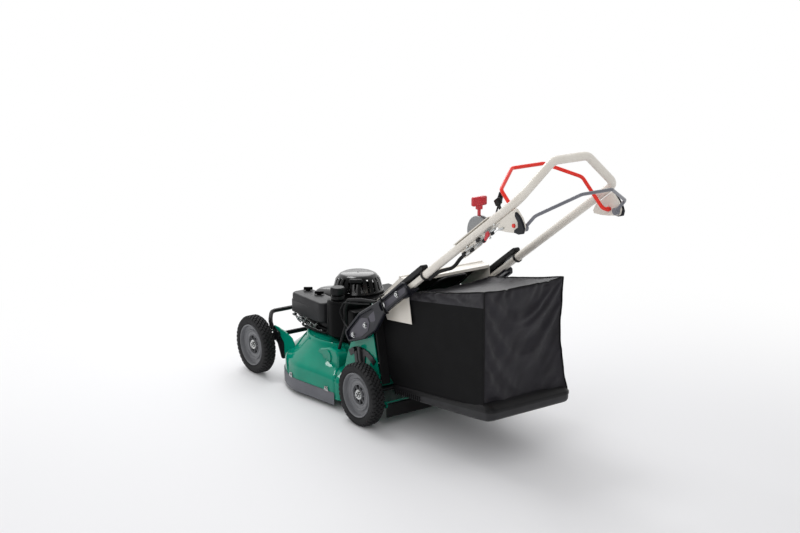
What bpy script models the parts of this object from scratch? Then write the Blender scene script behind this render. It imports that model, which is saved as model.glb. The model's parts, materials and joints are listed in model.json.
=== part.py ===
"""Self-propelled rotary lawn mower with a rear grass bag, as separate sub-parts.

+X is the mower's left, -Y its front and +Z is up, in metres. Places below are measured
from the rear wheel axis (y = 0), the mid-plane (x = 0) and the ground (z = 0); the root
empty then moves the whole mower so that the origin is under the middle of its length.
"""

import math

import bmesh
import bpy
from mathutils import Matrix, Quaternion, Vector

# Clearances
SEAT = 0.0003  # between faces that rest on each other
RUN = 0.0006  # around a pin that turns
FREE = 0.003  # between pieces that pass each other

# Wheels
OVERALL_WIDTH = 0.580
WHEELBASE = 0.719
TYRE_RADIUS = 0.115
TYRE_WIDTH = 0.052
RIM_RADIUS = 0.081
HUB_RADIUS = 0.020
HUB_INNER = 0.030  # from the wheel's mid-plane to its inner end
HUB_OUTER = 0.012
SPINDLE_RADIUS = 0.0065
NUT_RADIUS = 0.0105
NUT_LENGTH = 0.006
TYRE_STEPS = 24
RIM_STEPS = 16

# Deck
CRANK_Y = -0.400
DECK_RADIUS = OVERALL_WIDTH / 2 - 0.010
DECK_LOW = 0.052
DECK_SHOULDER = 0.104
DECK_SIDE_REAR = (DECK_RADIUS - 0.028, -0.182)
DECK_REAR_Y = -0.150
DECK_STEP = 0.014
PEDESTAL_RADIUS = DECK_RADIUS - 0.082
PEDESTAL_TOP = 0.204
SHEET = 0.003

# Discharge tower
TOWER_HALF = OVERALL_WIDTH / 2 - TYRE_WIDTH - 0.033
TOWER_LOW = 0.072
TOWER_TOP = 0.392
TOWER_REAR_LOW = 0.052
TOWER_REAR_TOP = -0.028
BAY_FRONT = -0.118
BAY_FRONT_TOP = 0.152
BAY_REAR_TOP = 0.176

# Front and rear axles
FRONT_PIVOT = (-0.620, 0.170)
REAR_PIVOT = (-0.075, 0.118)
CROSS_TUBE_RADIUS = 0.009
REAR_TUBE_RADIUS = 0.010
DRIVE_SHAFT_RADIUS = 0.006
ARM_THICKNESS = 0.008
ARM_RADIUS = 0.016
EAR_INNER = TOWER_HALF + 0.009
EAR_THICKNESS = 0.005

# Blade and engine
SHAFT_RADIUS = 0.0125
BLADE_RADIUS = DECK_RADIUS - 0.018
BLADE_WIDTH = 0.060
BLADE_THICKNESS = 0.005
BLADE_Z = 0.068
BLADE_LIFT = 0.018
CASE_RADIUS = 0.088
HOUSING_RADIUS = 0.0985
HOUSING_LOW = 0.300
HOUSING_TOP = 0.345
COVER_TOP = 0.430
COVER_WALL = 0.0025
COVER_SLOTS = 22
FAN_BLADES = 9
FAN_RADIUS = 0.076
FIN_COUNT = 6
FIN_PITCH = 0.012

# Handle
HANDLE_X = TOWER_HALF - 0.005
HANDLE_SLOPE = math.radians(36.0)
HANDLE_PIVOT = (0.086, 0.4545)
HANDLE_RADIUS = 0.014
HANDLE_WALL = 0.0012
STUB_RADIUS = 0.0122
STUB_FRONT = -0.045
STUB_REAR = 0.300
HANDLE_JOINT = 0.252
LOOP_START = (0.753, 0.939)
LOOP_START_X = HANDLE_X - 0.002
LOOP_TOP = (0.760, 1.046)
LOOP_TOP_X = 0.071
PIVOT_BOLT_RADIUS = 0.004
BRACKET_OUTER = TOWER_HALF + 0.0275
BRACKET_POCKET = 0.009

# Bails
BRAKE_PIVOT = (0.737, 0.855)
BRAKE_BEND = (0.633, 0.945)
BRAKE_BEND_X = HANDLE_X - 0.030
BRAKE_TOP = (0.562, 0.990)
BRAKE_TOP_X = 0.067
BRAKE_RADIUS = 0.0055
DRIVE_PIVOT = (0.772, 0.854)
DRIVE_BEND = (0.815, 0.898)
DRIVE_BEND_X = HANDLE_X - 0.013
DRIVE_TOP = (0.883, 0.960)
DRIVE_TOP_X = 0.062
DRIVE_RADIUS = 0.005
PLATE_THICKNESS = 0.006

# Controls on the left tube
THROTTLE_X = HANDLE_X - 0.051
QUADRANT_PLACE = 0.535  # along the tube from the fold pivot
QUADRANT_RADIUS = 0.054
QUADRANT_WIDTH = 0.026
CONSOLE = (0.460, 0.668)
CONSOLE_INNER = HANDLE_X - 0.102
CONSOLE_SHEET = 0.003

# Rear cover and grass bag
COVER_HINGE = (-0.036, 0.4203)
COVER_HALF = HANDLE_X - 0.0205
COVER_SHEET = 0.002
COVER_BEND = (0.117, 0.553)
COVER_LIP = (0.160, 0.550)
COVER_PIN_RADIUS = 0.004
BAG_WALL = 0.0025
BAG_TOP_FRONT = (0.165, 0.508)
BAG_TOP_REAR = (0.559, 0.597)
BAG_REAR = 0.598
TRAY_HALF = TOWER_HALF - 0.028
TRAY_RIM = ((0.066, 0.1475), (0.611, 0.2115))  # front and rear of its top edge
TRAY_LAP = 0.006  # how far the cloth reaches below that edge
TRAY_WALL = 0.0045
TRAY_RIBS = 6
FRAME_RADIUS = 0.004

# Trailing skirt
SKIRT_HINGE = (0.064, 0.076)
SKIRT_LOW = 0.030
SKIRT_THICKNESS = 0.004
SKIRT_ROD = 0.0045

BAG_HALF = TRAY_HALF - TRAY_WALL - SEAT
AXLE_Z = TYRE_RADIUS * math.cos(math.pi / TYRE_STEPS)
WHEEL_X = (OVERALL_WIDTH - TYRE_WIDTH) / 2
REAR_AXLE = (0.0, AXLE_Z)
FRONT_AXLE = (-WHEELBASE, AXLE_Z)
FRONT_END = -WHEELBASE - AXLE_Z
REAR_END = DRIVE_TOP[0] + DRIVE_RADIUS
MIDDLE_Y = (FRONT_END + REAR_END) / 2
ARM_INNER = TOWER_HALF + 0.0055
ARM_OUTER = ARM_INNER + ARM_THICKNESS

ALONG = Vector((0.0, math.cos(HANDLE_SLOPE), math.sin(HANDLE_SLOPE)))
ABOVE = Vector((0.0, -math.sin(HANDLE_SLOPE), math.cos(HANDLE_SLOPE)))


# Materials

def material(name, red, green, blue, roughness, metallic=0.0):
    """A Principled material from a colour given as 0-255 screen values."""
    made = bpy.data.materials.new(name)
    made.use_nodes = True
    shader = made.node_tree.nodes["Principled BSDF"]
    linear = [(value / 255) ** 2.2 for value in (red, green, blue)]
    shader.inputs["Base Color"].default_value = (*linear, 1.0)
    shader.inputs["Roughness"].default_value = roughness
    shader.inputs["Metallic"].default_value = metallic
    made.diffuse_color = (*linear, 1.0)
    return made


def all_materials():
    """Every material of the mower, by a short name."""
    return {
        "teal": material("teal deck enamel", 0, 140, 125, 0.25),
        "cream": material("cream enamel", 228, 223, 216, 0.35),
        "red": material("red enamel", 226, 52, 42, 0.35),
        "grey": material("grey enamel", 146, 146, 152, 0.35),
        "anthracite": material("anthracite casting", 72, 72, 80, 0.45),
        "black": material("black plastic", 42, 42, 44, 0.45),
        "rubber": material("tyre rubber", 30, 29, 30, 0.85),
        "rim": material("grey wheel plastic", 118, 118, 120, 0.5),
        "zinc": material("zinc plated steel", 190, 192, 196, 0.3, 1.0),
        "steel": material("blade steel", 120, 122, 126, 0.4, 1.0),
        "cast": material("cast aluminium", 150, 150, 150, 0.5, 0.8),
        "fabric": material("black bag fabric", 32, 31, 33, 0.9),
        "dark": material("dark steel", 58, 60, 64, 0.5, 0.6),
    }


# Mesh helpers

def link(name, data, look):
    """A new object in the scene with one material."""
    made = bpy.data.objects.new(name, data)
    bpy.context.scene.collection.objects.link(made)
    data.materials.append(look)
    return made


def from_bmesh(name, mesh, look):
    """An object from a bmesh, its faces turned outward and its round faces smooth."""
    bmesh.ops.recalc_face_normals(mesh, faces=mesh.faces)
    data = bpy.data.meshes.new(name)
    mesh.to_mesh(data)
    mesh.free()
    data.shade_smooth()
    data.set_sharp_from_angle(angle=math.radians(32))
    return link(name, data, look)


def prism(name, outline, axis, low, high, look, bevel=0.0, segments=1):
    """A flat outline extruded along an axis; the outline holds the other two coordinates."""
    mesh = bmesh.new()
    place = {
        "X": lambda a, b, level: (level, a, b),
        "Y": lambda a, b, level: (a, level, b),
        "Z": lambda a, b, level: (a, b, level),
    }[axis]
    ends = [[mesh.verts.new(place(a, b, level)) for a, b in outline] for level in (low, high)]
    count = len(outline)
    for i in range(count):
        j = (i + 1) % count
        mesh.faces.new((ends[0][i], ends[0][j], ends[1][j], ends[1][i]))
    mesh.faces.new(ends[0])
    mesh.faces.new(ends[1])
    made = from_bmesh(name, mesh, look)
    if bevel:
        edge = made.modifiers.new("edge", "BEVEL")
        edge.width = bevel
        edge.segments = segments
        edge.limit_method = "ANGLE"
        edge.angle_limit = math.radians(40)
    return made


def box(name, low, high, look, bevel=0.0, segments=1):
    """A box between two corners."""
    outline = [(low[0], low[1]), (high[0], low[1]), (high[0], high[1]), (low[0], high[1])]
    return prism(name, outline, "Z", low[2], high[2], look, bevel, segments)


def loft(name, rings, look):
    """A closed solid through rings of equal count, with flat ends and each wall face halved alike."""
    mesh = bmesh.new()
    rows = [[mesh.verts.new(point) for point in ring] for ring in rings]
    count = len(rows[0])
    for row, following in zip(rows, rows[1:]):
        for i in range(count):
            j = (i + 1) % count
            mesh.faces.new((row[i], row[j], following[j]))
            mesh.faces.new((row[i], following[j], following[i]))
    mesh.faces.new(rows[0])
    mesh.faces.new(rows[-1])
    return from_bmesh(name, mesh, look)


def revolve(name, profile, axis, centre, steps, look, closed=False):
    """A turned solid; the profile holds (radius, place along the axis) from end to end.

    An open profile begins and ends on the axis or is closed there by a flat face.
    """
    mesh = bmesh.new()
    turn = {
        "X": lambda r, h, a: (h, r * math.cos(a), r * math.sin(a)),
        "Y": lambda r, h, a: (r * math.cos(a), h, r * math.sin(a)),
        "Z": lambda r, h, a: (r * math.cos(a), r * math.sin(a), h),
    }[axis]
    half = math.pi / steps
    rows = []
    for radius, place in profile:
        angles = [half + 2 * half * i for i in range(steps)]
        points = [Vector(turn(radius, place, a)) + Vector(centre) for a in angles]
        rows.append([mesh.verts.new(p) for p in points])
    pairs = list(zip(rows, rows[1:]))
    if closed:
        pairs.append((rows[-1], rows[0]))
    for row, following in pairs:
        for i in range(steps):
            j = (i + 1) % steps
            mesh.faces.new((row[i], row[j], following[j], following[i]))
    if not closed:
        mesh.faces.new(rows[0])
        mesh.faces.new(rows[-1])
    return from_bmesh(name, mesh, look)


def cylinder(name, axis, centre, radius, low, high, look, steps=16):
    """A round bar along an axis, from low to high along it."""
    return revolve(name, [(radius, low), (radius, high)], axis, centre, steps, look)


def fillet(points, radius, steps, closed=False):
    """The points of a path whose inner corners are arcs of the given radius."""
    corners = [Vector(p).to_3d() for p in points]
    count = len(corners)
    path = []
    for i, corner in enumerate(corners):
        if not closed and i in (0, count - 1):
            path.append(corner)
            continue
        back = corners[i - 1] - corner
        ahead = corners[(i + 1) % count] - corner
        half = back.angle(ahead) / 2
        reach = min(radius / math.tan(half), 0.48 * min(back.length, ahead.length))
        bend = reach * math.tan(half)
        middle = corner + (back.normalized() + ahead.normalized()).normalized() * bend / math.sin(half)
        start = corner + back.normalized() * reach - middle
        axis = start.cross(corner + ahead.normalized() * reach - middle)
        for step in range(steps + 1):
            turn = Quaternion(axis, (math.pi - 2 * half) * step / steps)
            path.append(middle + turn @ start)
    return path


def rounded(outline, radius, steps=2):
    """A flat closed outline with rounded corners."""
    return [(p.x, p.y) for p in fillet(outline, radius, steps, closed=True)]


def tube(name, points, radius, look, bend=0.0, steps=3, detail=2, closed=False):
    """A round tube along a path with rounded bends, as a mesh."""
    path = fillet(points, bend, steps, closed) if bend else [Vector(p) for p in points]
    curve = bpy.data.curves.new(name, "CURVE")
    curve.dimensions = "3D"
    curve.bevel_depth = radius
    curve.bevel_resolution = detail
    curve.use_fill_caps = True
    spline = curve.splines.new("POLY")
    spline.points.add(len(path) - 1)
    for point, place in zip(spline.points, path):
        point.co = (*place, 1.0)
    spline.use_smooth = True
    spline.use_cyclic_u = closed
    return plain(link(name, curve, look))


def plain(target):
    """The object with its modifiers applied, as a mesh."""
    bpy.context.view_layer.update()
    graph = bpy.context.evaluated_depsgraph_get()
    data = bpy.data.meshes.new_from_object(target.evaluated_get(graph))
    name = target.name
    old = target.data
    looks = list(old.materials)
    bpy.data.objects.remove(target)
    if old.users == 0 and isinstance(old, bpy.types.Mesh):
        bpy.data.meshes.remove(old)
    data.name = name
    data.materials.clear()
    return link(name, data, looks[0])


def combine(target, tools, operation):
    """A Boolean of the target with each tool; the tools are used up."""
    for tool in tools:
        step = target.modifiers.new(operation.lower(), "BOOLEAN")
        step.operation = operation
        step.object = tool
        step.solver = "EXACT"
    made = plain(target)
    for tool in tools:
        bpy.data.objects.remove(tool)
    made.data.shade_smooth()
    made.data.set_sharp_from_angle(angle=math.radians(32))
    return made


def join(name, pieces):
    """One object from separate solids that don't touch."""
    mesh = bmesh.new()
    look = pieces[0].data.materials[0]
    for piece in pieces:
        solid = plain(piece)
        mesh.from_mesh(solid.data)
        bpy.data.objects.remove(solid)
    return from_bmesh(name, mesh, look)


def cut(target, tools):
    return combine(target, tools, "DIFFERENCE")


def fuse(target, tools):
    return combine(target, tools, "UNION")


def mirrored(outline, side):
    """An X range on the given side of the mid-plane, low value first."""
    low, high = outline
    return (low, high) if side > 0 else (-high, -low)


def on_handle(along, above, across=0.0):
    """A point given along the left or right handle tube and above its axis."""
    pivot = Vector((0.0, *HANDLE_PIVOT))
    return pivot + ALONG * along + ABOVE * above + Vector((across, 0, 0))


def handle_outline(corners):
    """Corners given as (along, above) the handle tube, as (y, z) points."""
    return [tuple(on_handle(along, above).yz) for along, above in corners]


def circle(centre, radius, steps, start=0.0, sweep=2 * math.pi):
    """Points round a circle or, with a smaller sweep, along an arc with both its ends."""
    full = abs(sweep - 2 * math.pi) < 1e-6
    last = steps if full else steps + 1
    return [
        (
            centre[0] + radius * math.cos(start + sweep * i / steps),
            centre[1] + radius * math.sin(start + sweep * i / steps),
        )
        for i in range(last)
    ]


def link_outline(start, end, start_radius, end_radius, steps=5):
    """A bar with round ends between two points."""
    heading = math.atan2(end[1] - start[1], end[0] - start[0])
    tail = circle(start, start_radius, steps, heading + math.pi / 2, math.pi)
    nose = circle(end, end_radius, steps, heading - math.pi / 2, math.pi)
    return tail + nose


# Bodies

class Bodies:
    """The empties that carry the moving pieces, each on its joint's axis."""

    def __init__(self):
        self.places = {}
        self.root = bpy.data.objects.new("mower_root", None)
        self.root.location = (0.0, -MIDDLE_Y, 0.0)
        bpy.context.scene.collection.objects.link(self.root)
        self.places[self.root] = Vector((0.0, 0.0, 0.0))

    def add(self, name, place, parent=None):
        """An empty at a joint's place, under the body that carries it."""
        parent = parent or self.root
        holder = bpy.data.objects.new(name + "_pivot", None)
        bpy.context.scene.collection.objects.link(holder)
        holder.parent = parent
        holder.location = Vector(place) - self.places[parent]
        self.places[holder] = Vector(place)
        return holder

    def carry(self, holder, pieces):
        """Parents pieces, made in place, to a body's empty."""
        for piece in pieces:
            piece.data.transform(Matrix.Translation(-self.places[holder]))
            piece.parent = holder


# Deck

def deck_outline(inset):
    """The deck's plan: round in front, with sides that draw in to a flat rear."""
    radius = DECK_RADIUS - inset
    side_x, side_y = DECK_SIDE_REAR[0] - inset, DECK_SIDE_REAR[1]
    rear = DECK_REAR_Y - inset
    front = circle((0.0, CRANK_Y), radius, 16, -math.pi, math.pi)
    share = (0.35, 0.7, 0.97)
    right_side = [
        (radius + (side_x - radius) * s, CRANK_Y + (side_y - CRANK_Y) * s) for s in share
    ]
    corner = circle((side_x - 0.028, rear - 0.028), 0.028, 2, 0.0, math.pi / 2)
    rear_half = [(side_x, side_y + 0.001), *corner, (side_x * 0.45, rear)]
    left = [(-x, y) for x, y in reversed(right_side + rear_half)]
    return front + right_side + rear_half + left


def deck_ring(inset, radius, z, roundness, step=0.0):
    """One ring of the deck: the plan shrunk to a radius and drawn toward a circle."""
    ring = []
    for x, y in deck_outline(inset):
        out = Vector((x, y - CRANK_Y))
        shrunk = out * (radius - inset) / (DECK_RADIUS - inset)
        level = z - (step if y > DECK_SIDE_REAR[1] + 0.0005 else 0.0)
        place = shrunk.lerp(out.normalized() * (radius - inset), roundness)
        ring.append((place.x, place.y + CRANK_Y, level))
    return ring


def deck_pan(name, inset, low, look, plain_rings=()):
    """The deck's domed body as a closed solid, shrunk by the inset on every side."""
    drop = inset
    rings = [
        deck_ring(inset, DECK_RADIUS, low, 0.0, DECK_STEP),
        deck_ring(inset, DECK_RADIUS, DECK_SHOULDER - drop * 0.4, 0.0),
        deck_ring(inset, DECK_RADIUS - 0.004, DECK_SHOULDER + 0.013 - drop * 0.7, 0.0),
        deck_ring(inset, DECK_RADIUS - 0.018, DECK_SHOULDER + 0.023 - drop, 0.0),
        deck_ring(inset, DECK_RADIUS - 0.045, DECK_SHOULDER + 0.038 - drop, 0.3),
        deck_ring(inset, PEDESTAL_RADIUS + 0.007, DECK_SHOULDER + 0.058 - drop, 1.0),
        deck_ring(inset, PEDESTAL_RADIUS, DECK_SHOULDER + 0.066 - drop, 1.0),
        deck_ring(inset, PEDESTAL_RADIUS - 0.002, PEDESTAL_TOP - 0.006 - drop, 1.0),
        deck_ring(inset, PEDESTAL_RADIUS - 0.008, PEDESTAL_TOP - drop, 1.0),
    ]
    kept = [ring for k, ring in enumerate(rings) if k not in plain_rings]
    return loft(name, kept, look)


def tower_rear(z, inset=0.0):
    """The y of the tower's rear edge at a height."""
    share = (z - TOWER_LOW) / (TOWER_TOP - TOWER_LOW)
    return TOWER_REAR_LOW + (TOWER_REAR_TOP - TOWER_REAR_LOW) * share + inset


def tower_outline(inset):
    """The tower's side view, from its foot in the deck over its top to its rear edge."""
    top = TOWER_TOP - inset
    return [
        (-0.204 + inset, 0.100),
        (-0.186 + inset, 0.165),
        (-0.166 + inset, 0.222),
        (-0.127 + inset, 0.300),
        (-0.086 + inset, 0.362),
        (-0.060 + inset * 0.4, top),
        (TOWER_REAR_TOP, top),
        (TOWER_REAR_LOW, TOWER_LOW),
        (TOWER_REAR_LOW - 0.004, TOWER_LOW - 0.010),
        (-0.204 + inset, TOWER_LOW - 0.010),
    ]


def tower_tunnel(look):
    """The way from the blade chamber up to the bag."""
    outline = tower_outline(SHEET)[:6] + [
        (TOWER_REAR_TOP + 0.10, TOWER_TOP - SHEET),
        (TOWER_REAR_LOW + 0.10, TOWER_LOW + 0.05),
        (TOWER_REAR_LOW + 0.10, BAY_REAR_TOP + SHEET + 0.024),
        (BAY_FRONT + 0.016, BAY_FRONT_TOP + SHEET),
        (BAY_FRONT, BAY_FRONT_TOP - 0.016),
        (BAY_FRONT, DECK_LOW - 0.060),
        (-0.240, DECK_LOW - 0.060),
        (-0.240, 0.100),
    ]
    outline.pop(7)
    half = TOWER_HALF - SHEET
    return prism("tunnel", outline, "X", -half, half, look)


def axle_bay(look):
    """The space under the tunnel's floor for the gearbox and the rear axle."""
    rear = TOWER_REAR_LOW + 0.10
    outline = [
        (BAY_FRONT + SHEET, DECK_LOW - 0.060),
        (BAY_FRONT + SHEET, BAY_FRONT_TOP - 0.017),
        (BAY_FRONT + 0.018, BAY_FRONT_TOP),
        (rear, BAY_REAR_TOP + 0.024),
        (rear, DECK_LOW - 0.060),
    ]
    half = TOWER_HALF - SHEET
    return prism("bay", outline, "X", -half, half, look)


def front_ear(side, look):
    """The plate at a front corner that carries the front axle and the guard tube."""
    outline = rounded(
        [
            (-0.664, 0.150),
            (-0.662, 0.198),
            (-0.626, 0.196),
            (-0.576, 0.191),
            (-0.530, 0.176),
            (-0.498, 0.136),
            (-0.506, 0.100),
            (-0.585, 0.082),
            (-0.606, 0.082),
            (-0.612, 0.120),
        ],
        0.008,
        1,
    )
    low, high = mirrored((EAR_INNER, EAR_INNER + EAR_THICKNESS), side)
    return prism("ear", outline, "X", low, high, look)


def cover_ear(side, look):
    """The lug on the tower's top that holds the rear cover's hinge pin."""
    y, z = COVER_HINGE
    low, high = mirrored((COVER_HALF + 0.0015, COVER_HALF + 0.0065), side)
    foot = TOWER_TOP - SHEET / 2
    outline = [(y - 0.016, foot), *circle((y, z), 0.010, 6, math.pi, -math.pi), (y + 0.012, foot)]
    return prism("lug", outline, "X", low, high, look)


def skirt_lug(side, look):
    """The lug behind a tower wall that holds an end of the skirt's rod."""
    y, z = SKIRT_HINGE
    low, high = mirrored((TOWER_HALF - SHEET - 0.0008, TOWER_HALF + 0.0008), side)
    outline = [(y - 0.024, z - 0.007), *circle((y, z), 0.009, 5, -math.pi / 2, math.pi), (y - 0.024, z + 0.020)]
    return prism("lug", outline, "X", low, high, look)


def bag_peg(side, look):
    """The peg inside the tower that a hook of the bag frame rests on."""
    low, high = mirrored((BAG_HALF + 0.004, TOWER_HALF - SHEET / 2), side)
    return cylinder("peg", "X", (0.0, PEG_Y, PEG_Z), PEG_RADIUS, low, high, look, 10)


PEG_RADIUS = 0.005
PEG_Z = 0.358
PEG_Y = -0.034


def make_deck(looks):
    """The pressed deck shell with its tower, axle lugs and pin holes."""
    teal = looks["teal"]
    deck = deck_pan("deck_shell", 0.0, DECK_LOW, teal)
    tower = prism("tower", tower_outline(0.0), "X", -TOWER_HALF, TOWER_HALF, teal)
    ears = [front_ear(side, teal) for side in (1, -1)]
    tail = prism(
        "tail",
        [
            (TOWER_REAR_LOW - 0.030, TOWER_LOW - 0.002),
            (SKIRT_HINGE[0] - 0.004, TOWER_LOW + 0.010),
            (SKIRT_HINGE[0] - 0.004, TOWER_LOW + 0.014),
            (TOWER_REAR_LOW - 0.030, TOWER_LOW + 0.002),
        ],
        "X",
        -TOWER_HALF,
        TOWER_HALF,
        teal,
    )
    deck = fuse(deck, [tower, *ears])
    chamber = deck_pan("chamber", SHEET, DECK_LOW - 0.060, teal, (2, 5, 7))
    deck = cut(deck, [chamber, tower_tunnel(teal), axle_bay(teal)])
    added = [make(side, teal) for make in (cover_ear, bag_peg, skirt_lug) for side in (1, -1)]
    deck = fuse(deck, [tail, *added])
    wide = TOWER_HALF + 0.05
    holes = [
        cylinder("hole", "X", (0, *FRONT_PIVOT), CROSS_TUBE_RADIUS + RUN + 0.0004, -wide, wide, teal, 16),
        cylinder("hole", "X", (0, *REAR_PIVOT), DRIVE_SHAFT_RADIUS + RUN + 0.0003, -wide, wide, teal, 12),
        cylinder("hole", "Z", (0, CRANK_Y, 0), SHAFT_RADIUS + 0.012, 0.15, 0.25, teal, 16),
        cylinder("hole", "X", (0, *COVER_HINGE), COVER_PIN_RADIUS + SEAT, -wide, wide, teal, 12),
        cylinder("hole", "X", (0, *SKIRT_HINGE), SKIRT_ROD + RUN, -wide, wide, teal, 10),
        prism(
            "slot",
            link_outline((0.004, AXLE_Z), (-0.018, 0.060), REAR_TUBE_RADIUS + 0.005, REAR_TUBE_RADIUS + 0.005, 6),
            "X",
            -wide,
            wide,
            teal,
        ),
        torque_tube(looks, TUBE_FIT),
    ]
    return cut(deck, holes)


TORQUE_START = (TOWER_HALF - 0.019, -0.300, 0.174)
TORQUE_END = (0.015, -0.1058, 0.116)
TORQUE_RADIUS = 0.008
TUBE_FIT = 0.0005


def torque_tube(looks, grow=0.0):
    """The closed tube of the shaft from the drive case to the gearbox; a cutter is wider and longer."""
    start, end = Vector(TORQUE_START), Vector(TORQUE_END)
    end = end + (end - start).normalized() * grow * 5
    return tube("torque_tube", [start, end], TORQUE_RADIUS + grow, looks["dark"], detail=1)


def front_bumper(looks):
    """The steel band round the skirt's front and sides, with its bolted tabs."""
    inner = deck_outline(-SEAT)
    outer = deck_outline(-0.0045)
    low, high = DECK_LOW, DECK_LOW + 0.014
    keep = [i for i, (x, y) in enumerate(inner) if y < DECK_SIDE_REAR[1] - 0.004]
    order = keep
    gap = next(k for k in range(len(keep) - 1) if keep[k + 1] - keep[k] > 1)
    order = keep[gap + 1 :] + keep[: gap + 1]
    rings = []
    for i in order:
        (ix, iy), (ox, oy) = inner[i], outer[i]
        rings.append([(ix, iy, low), (ox, oy, low), (ox, oy, high), (ix, iy, high)])
    band = loft("front_bumper", rings, looks["dark"])
    tabs = []
    for angle in (-8, -62, -118, -172):
        heading = math.radians(angle)
        tab = prism(
            "tab",
            [(-0.022, low + 0.004), (0.022, low + 0.004), (0.006, high + 0.018), (-0.006, high + 0.018)],
            "Y",
            -0.0045,
            -SEAT,
            looks["dark"],
        )
        turn = Matrix.Rotation(heading + math.pi / 2, 4, "Z")
        at = Vector((math.cos(heading), math.sin(heading), 0)) * DECK_RADIUS + Vector((0, CRANK_Y, 0))
        tab.data.transform(Matrix.Translation(at) @ turn)
        tabs.append(tab)
    band = fuse(band, tabs)
    return cut(band, [deck_pan("clear", -SEAT, DECK_LOW - 0.030, looks["dark"])])


def front_guard(looks):
    """The bent tube across the front, welded to the notched plates of both front corners."""
    face = EAR_INNER + EAR_THICKNESS + SEAT
    x = face + 0.0085
    half = [(x, -0.650, 0.184), (x, -0.668, 0.214), (HANDLE_X + 0.002, -0.700, 0.240)]
    path = half + [(-px, y, z) for px, y, z in reversed(half)]
    guard = tube("front_guard_tube", path, 0.0085, looks["black"], 0.024, 2)
    y, z = FRONT_PIVOT
    outline = [
        (y - 0.038, z + 0.006),
        (y - 0.038, z + 0.022),
        (y - 0.022, z + 0.022),
        (y + 0.036, z - 0.024),
        (y + 0.040, z - 0.088),
        (y + 0.020, z - 0.092),
        (y - 0.014, z - 0.026),
    ]
    plates = []
    for side in (1, -1):
        low, high = mirrored((face, face + 0.002), side)
        plates.append(prism("plate", rounded(outline, 0.004, 1), "X", low, high, looks["black"]))
    guard = fuse(guard, plates)
    reach = OVERALL_WIDTH / 2
    hole = cylinder("hole", "X", (0, y, z), CROSS_TUBE_RADIUS + RUN, -reach, reach, looks["black"], 16)
    return cut(guard, [hole])


def height_sector(looks):
    """The notched plate beside the left rear wheel that the height lever latches in."""
    y, z = REAR_PIVOT
    low, high = TOWER_HALF + SEAT, TOWER_HALF + 0.0045
    start, sweep = math.radians(52), math.radians(76)
    band = circle((y, z), 0.137, 12, start, sweep) + circle((y, z), 0.114, 12, start + sweep, -sweep)
    sector = prism("rear_height_sector", band, "X", low, high, looks["black"])
    leg = prism(
        "leg",
        [(y - 0.030, z + 0.060), (y + 0.012, z + 0.060), (y + 0.020, z + 0.120), (y - 0.040, z + 0.120)],
        "X",
        low,
        high,
        looks["black"],
    )
    notches = [
        prism(
            "notch",
            circle((y + 0.139 * math.cos(a), z + 0.139 * math.sin(a)), 0.005, 6),
            "X",
            low - 0.01,
            high + 0.01,
            looks["black"],
        )
        for a in [start + sweep * (k + 0.5) / 7 for k in range(7)]
    ]
    return cut(fuse(sector, [leg]), notches)


def drive_case(looks):
    """The housing on the deck's left shoulder, with the closed tube to the gearbox."""
    outline = rounded(
        [
            (-0.385, 0.110),
            (-0.385, 0.150),
            (-0.350, 0.182),
            (-0.280, 0.202),
            (-0.236, 0.200),
            (-0.224, 0.184),
            (-0.224, 0.110),
        ],
        0.008,
        1,
    )
    case = prism("drive_case", outline, "X", TOWER_HALF - 0.041, TOWER_HALF + 0.0075, looks["teal"], 0.005, 1)
    lid = cylinder("lid", "X", (0, -0.292, 0.166), 0.026, TOWER_HALF - 0.005, TOWER_HALF + 0.0115, looks["teal"], 14)
    case = fuse(case, [lid])
    case = cut(case, [deck_pan("clear", -SEAT, 0.0, looks["teal"])])
    return fuse(case, [torque_tube(looks)])


def gearbox(looks):
    """The gearbox under the tunnel's floor, with its bore for the drive shaft."""
    y, z = REAR_PIVOT
    ceiling = BAY_FRONT_TOP - SEAT
    body = box("gearbox", (-0.055, y - 0.030, z - 0.032), (0.045, y + 0.044, z + 0.026), looks["cast"], 0.008, 1)
    feet = [
        cylinder("foot", "Z", (x, y + 0.012, 0), 0.010, z + 0.015, ceiling, looks["cast"], 10)
        for x in (-0.035, 0.027)
    ]
    necks = [
        cylinder("neck", "X", (0, y, z), 0.014, low, high, looks["cast"], 12)
        for low, high in ((-0.080, -0.050), (0.040, 0.070))
    ]
    body = fuse(body, feet + necks)
    bore = cylinder("bore", "X", (0, y, z), DRIVE_SHAFT_RADIUS + RUN, -0.1, 0.1, looks["cast"], 12)
    return cut(body, [bore, torque_tube(looks, TUBE_FIT)])


# Engine

def engine_block(looks):
    """The crankcase on its bolted base flange with its finned barrel, and the shaft's bore."""
    base = PEDESTAL_TOP + SEAT
    profile = [
        (0.102, base),
        (0.102, base + 0.010),
        (CASE_RADIUS, base + 0.014),
        (CASE_RADIUS, 0.262),
        (0.080, 0.280),
        (0.080, HOUSING_LOW - SEAT),
    ]
    block = revolve("engine_block", profile, "Z", (0, CRANK_Y, 0), 18, looks["cast"])
    port = box("port", (0.060, CRANK_Y - 0.130, 0.232), (0.100, CRANK_Y - 0.030, 0.246), looks["cast"], 0.003)
    filler = cylinder("filler", "Z", (0.015, CRANK_Y - 0.094, 0), 0.011, 0.212, 0.250, looks["cast"], 10)
    block = fuse(block, [port, filler])
    bore = cylinder("bore", "Z", (0, CRANK_Y, 0), SHAFT_RADIUS + RUN, 0.1, 0.4, looks["cast"], 16)
    bolts = []
    for k in range(4):
        angle = math.radians(45 + 90 * k)
        place = (0.0955 * math.cos(angle), CRANK_Y + 0.0955 * math.sin(angle), 0)
        bolts.append(cylinder("bolt", "Z", place, 0.0045, base + 0.008, base + 0.0155, looks["cast"], 6))
    return cut(fuse(block, [cylinder_fins(looks), *bolts]), [bore])


CYLINDER_Z = (0.226, 0.2945)


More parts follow.
